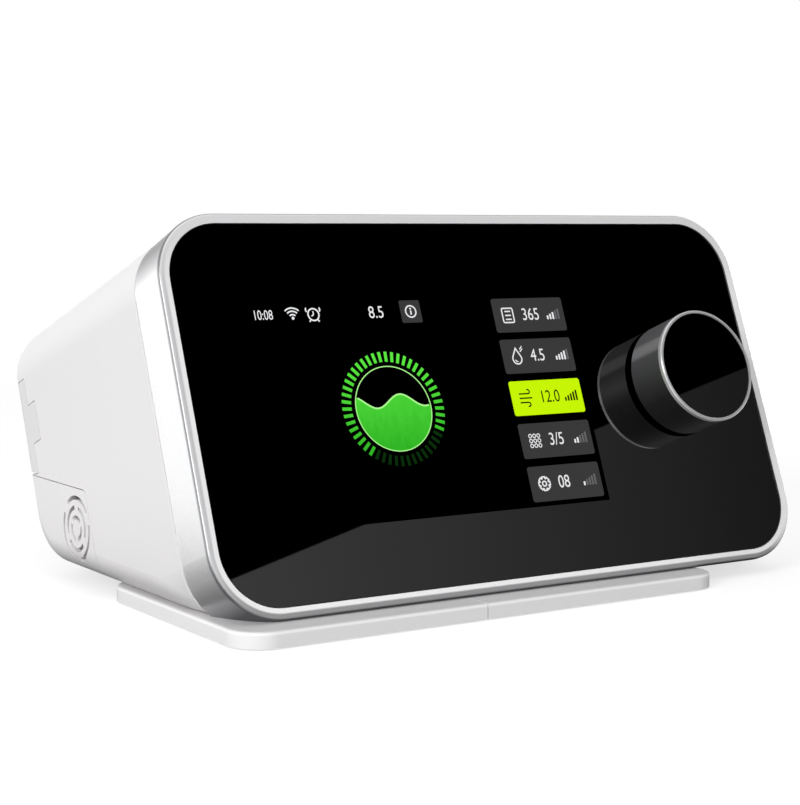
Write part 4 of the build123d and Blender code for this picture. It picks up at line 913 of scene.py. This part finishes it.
# the wave's crest from side to side, then the bowl's rim back along the bottom
bowl = gauge["bowl"]
crest = []
for i in range(gauge["waveSteps"] + 1):
    across = -1 + 2 * i / gauge["waveSteps"]
    swing = sin(across * gauge["waveTurns"] * pi + gauge["waveStart"])
    crest.append((bowl * across, gauge["waveLevel"] + gauge["waveHeight"] * swing))
inside = [(x, y) for x, y in crest if x * x + y * y < bowl * bowl * gauge["reach"]]
startAngle = Vector(inside[-1]).angle_signed(Vector((1, 0)))
endAngle = Vector(inside[0]).angle_signed(Vector((1, 0)))
span = (endAngle - startAngle) % (2 * pi) - 2 * pi
turns = [startAngle + span * i / gauge["rimSteps"] for i in range(gauge["rimSteps"] + 1)]
rim = [(bowl * cos(turn), bowl * sin(turn)) for turn in turns]
wave = Drawing()
wave.fill([(middleX + x, middleY + y) for x, y in inside + rim])
wave.make("gaugeWave", gaugeGreen)
crestLine = Drawing()
crestLine.line([(middleX + x, middleY + y) for x, y in inside], gauge["waveLine"])
crestLine.arc(gauge["middle"], bowl + gauge["bowlLineOut"], gauge["bowlLine"], steps=72)
crestLine.make("gaugeCrest", gaugePale, layers["high"])
print("gauge drawn:", gauge["bars"], "bars")


# The heater's springs, standing on the casing floor while the plate sinks

springs = frame["nodes"]["heater_springs"]
coilMesh = springs.data.copy()
coilMesh.transform(springs.matrix_world)
coils = bpy.data.objects.new("heaterCoils", coilMesh)
bpy.context.collection.objects.link(coils)
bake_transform(coils)
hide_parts("heater_springs")


# Water level marks on the tank's front wall

tankMarks = {
    "wall": 32.3,
    "across": (38.0, 62.0),
    "levels": (21.5, 25.5, 29.5, 33.5, 37.5),
    "marks": (5.0, 7.5, 5.0, 7.5, 24.0),
    "stroke": 0.45,
    "arrow": ((-4.8, 2.9), (-3.2, 0.7), (-1.6, 2.9)),
    "colour": (0.7, 0.75, 0.8, 1),
    # glow: strength of the painted light the marks give off
    "glow": 0.25,
}


def onTank(across, up, out):
    # millimetres along the tank's front wall to a place in the scene
    return Vector((across, tankMarks["wall"] - out, up)) / 1000


scale = Drawing()
left, right = tankMarks["across"]
levels = tankMarks["levels"]
for level, length in zip(levels, tankMarks["marks"]):
    scale.line([(left, level), (left + length, level)], tankMarks["stroke"])
scale.line([(left, levels[0]), (left, levels[-1])], tankMarks["stroke"])
scale.fill([(right + across, levels[-1] + up) for across, up in tankMarks["arrow"]])
# painted light: the printed marks glow with a light of their own
glowingMarkWhite = litFinish("glowingMarkWhite", tankMarks["colour"], tankMarks["glow"])
scale.make("tankLevels", glowingMarkWhite, body="tank", lay=onTank)
print("level marks:", len(levels))


# Studio: floor, lamps, surroundings and camera

studio = {
    "floorHalf": 6.0,
    "floorColour": (0.42, 0.42, 0.42, 1),
    # the floor's colour for bounce light and reflections near the object: dark, a painted shade under the
    # machine
    "floorShadeBounce": (0.1, 0.1, 0.1, 1),
    "floorGlow": 0.66,  # what the camera sees on top of the floor's own light
    "fade": (0.25, 1.1),
    "mirrorFade": (0.08, 0.3),
    "ambient": 0.5,
}
black = (0, 0, 0, 1)
white = (1, 1, 1, 1)
grid = bmesh.new()
bmesh.ops.create_grid(grid, x_segments=8, y_segments=8, size=studio["floorHalf"])
floorMesh = bpy.data.meshes.new("studioFloor")
grid.to_mesh(floorMesh)
grid.free()
floor = bpy.data.objects.new("studioFloor", floorMesh)
bpy.context.collection.objects.link(floor)
floorFinish = Finish("studioFloor")
away = floorFinish.vector("LENGTH", floorFinish.place(), output="Value")
fade = floorFinish.ranged(away, *studio["fade"], smooth=True)
mirrorFade = floorFinish.ranged(away, *studio["mirrorFade"], smooth=True)
seen = floorFinish.rayIs("Camera") + floorFinish.rayIs("Transmission")
shown = studio["floorGlow"] + (1 - studio["floorGlow"]) * fade
# in reflections the floor stays dark near the object and bright further off: painted shade
glow = floorFinish.blendColours(seen * shown + floorFinish.rayIs("Glossy") * mirrorFade, black, white)
# for bounce light the floor near the object is dark: painted shade
near = floorFinish.blendColours(seen, studio["floorShadeBounce"], studio["floorColour"])
floorColour = floorFinish.blendColours(fade, near, black)
floorMesh.materials.append(floorFinish.shine(glow, colour=floorColour))

# what the object mirrors in front: a dark ceiling over a grey wall that darkens to the right
# and behind: white with a grey top
surroundings = {
    "ceilingLine": (-0.24425, 0.37138, 0.89578),
    "front": (-0.4, 0.05),
    "wallRight": (0.40, 0.72),
    "wallShade": (0.24, 0.028),
    "backRise": (0.12, 0.55),
    "backShade": (1.0, 0.42),
}
world = bpy.data.worlds.new("studioWorld")
bpy.context.scene.world = world
world.use_nodes = True
sky = NodeMaker(world.node_tree)
heading = sky.node("ShaderNodeTexCoord", output="Generated")
overLine = sky.along(surroundings["ceilingLine"], of=heading)
rise = sky.along((0, 0, 1), of=heading)
toBack = sky.along((0, 1, 0), of=heading)
toRight = sky.along((1, 0, 0), of=heading)
inFront = 1 - sky.ranged(toBack, *surroundings["front"], smooth=True)
wall = sky.ranged(toRight, *surroundings["wallRight"], *surroundings["wallShade"])
backShade = sky.ranged(rise, *surroundings["backRise"], *surroundings["backShade"])
mirrored = (overLine < 0.0) * wall * inFront + backShade * (1 - inFront)
toGloss = sky.rayIs("Glossy")
seen = (sky.rayIs("Camera") + sky.rayIs("Transmission")) > 0.5
plain = studio["ambient"] + (1 - studio["ambient"]) * seen
strength = toGloss * mirrored + (1 - toGloss) * plain
background = sky.node("ShaderNodeBackground", None, {"Color": white, "Strength": strength})
sky.node("ShaderNodeOutputWorld", None, {"Surface": background})


def lamp(name, place, aim, size, power, mirrored=True):
    # a lamp that isn't mirrored lights the object but leaves no patch on shiny surfaces
    data = bpy.data.lights.new(name, "AREA")
    data.shape = "RECTANGLE"
    data.size, data.size_y = size
    data.energy = power
    made = bpy.data.objects.new(name, data)
    bpy.context.collection.objects.link(made)
    made.location = place
    made.rotation_mode = "QUATERNION"
    made.rotation_quaternion = (Vector(aim) - Vector(place)).to_track_quat("-Z", "Y")
    made.visible_glossy = mirrored


lamps = {
    "topLamp": {"place": (-0.3, 0.15, 1.5), "aim": (0, 0.05, 0), "size": (1.2, 1.2), "power": 2.2},
    "leftLamp": {"place": (-1.35, -0.5, 0.6), "aim": (0, 0.05, 0.05), "size": (0.7, 0.7), "power": 14},
    "frontLamp": {
        "place": (-0.45, -1.5, 0.5),
        "aim": (0, 0, 0.05),
        "size": (0.7, 0.5),
        "power": 8,
        "mirrored": False,
    },
    "rightLamp": {"place": (1.6, 0.5, 0.35), "aim": (0, 0.05, 0.05), "size": (0.8, 0.5), "power": 7},
    "backLamp": {"place": (-1.3, 1.35, 0.35), "aim": (0, 0.1, 0.05), "size": (0.8, 0.5), "power": 2.5},
}
for name, look in lamps.items():
    lamp(name, **look)

# the left lamp leaves no patch in the glass or in the knob's face
unlit = bpy.data.collections.new("unlit")
for name in ("front_glass", "knob_disc"):
    unlit.objects.link(frame["nodes"][name])
for member in unlit.collection_objects:
    member.light_linking.link_state = "EXCLUDE"
bpy.data.objects["leftLamp"].light_linking.receiver_collection = unlit

camera = {
    "place": (-0.3186, -0.4401, 0.1078),
    "azimuth": 32.80,
    "pitch": 5.35,
    "lens": 82.78,
    "sensor": 36,
    "nearest": 0.01,
}
cameraData = bpy.data.cameras.new("camera")
cameraData.lens = camera["lens"]
cameraData.sensor_width = camera["sensor"]
cameraData.clip_start = camera["nearest"]
cameraObject = bpy.data.objects.new("camera", cameraData)
bpy.context.collection.objects.link(cameraObject)
cameraObject.location = camera["place"]
cameraObject.rotation_euler = (radians(90 - camera["pitch"]), 0, -radians(camera["azimuth"]))
bpy.context.scene.camera = cameraObject
bpy.context.scene.view_settings.view_transform = "Standard"
print("studio set")
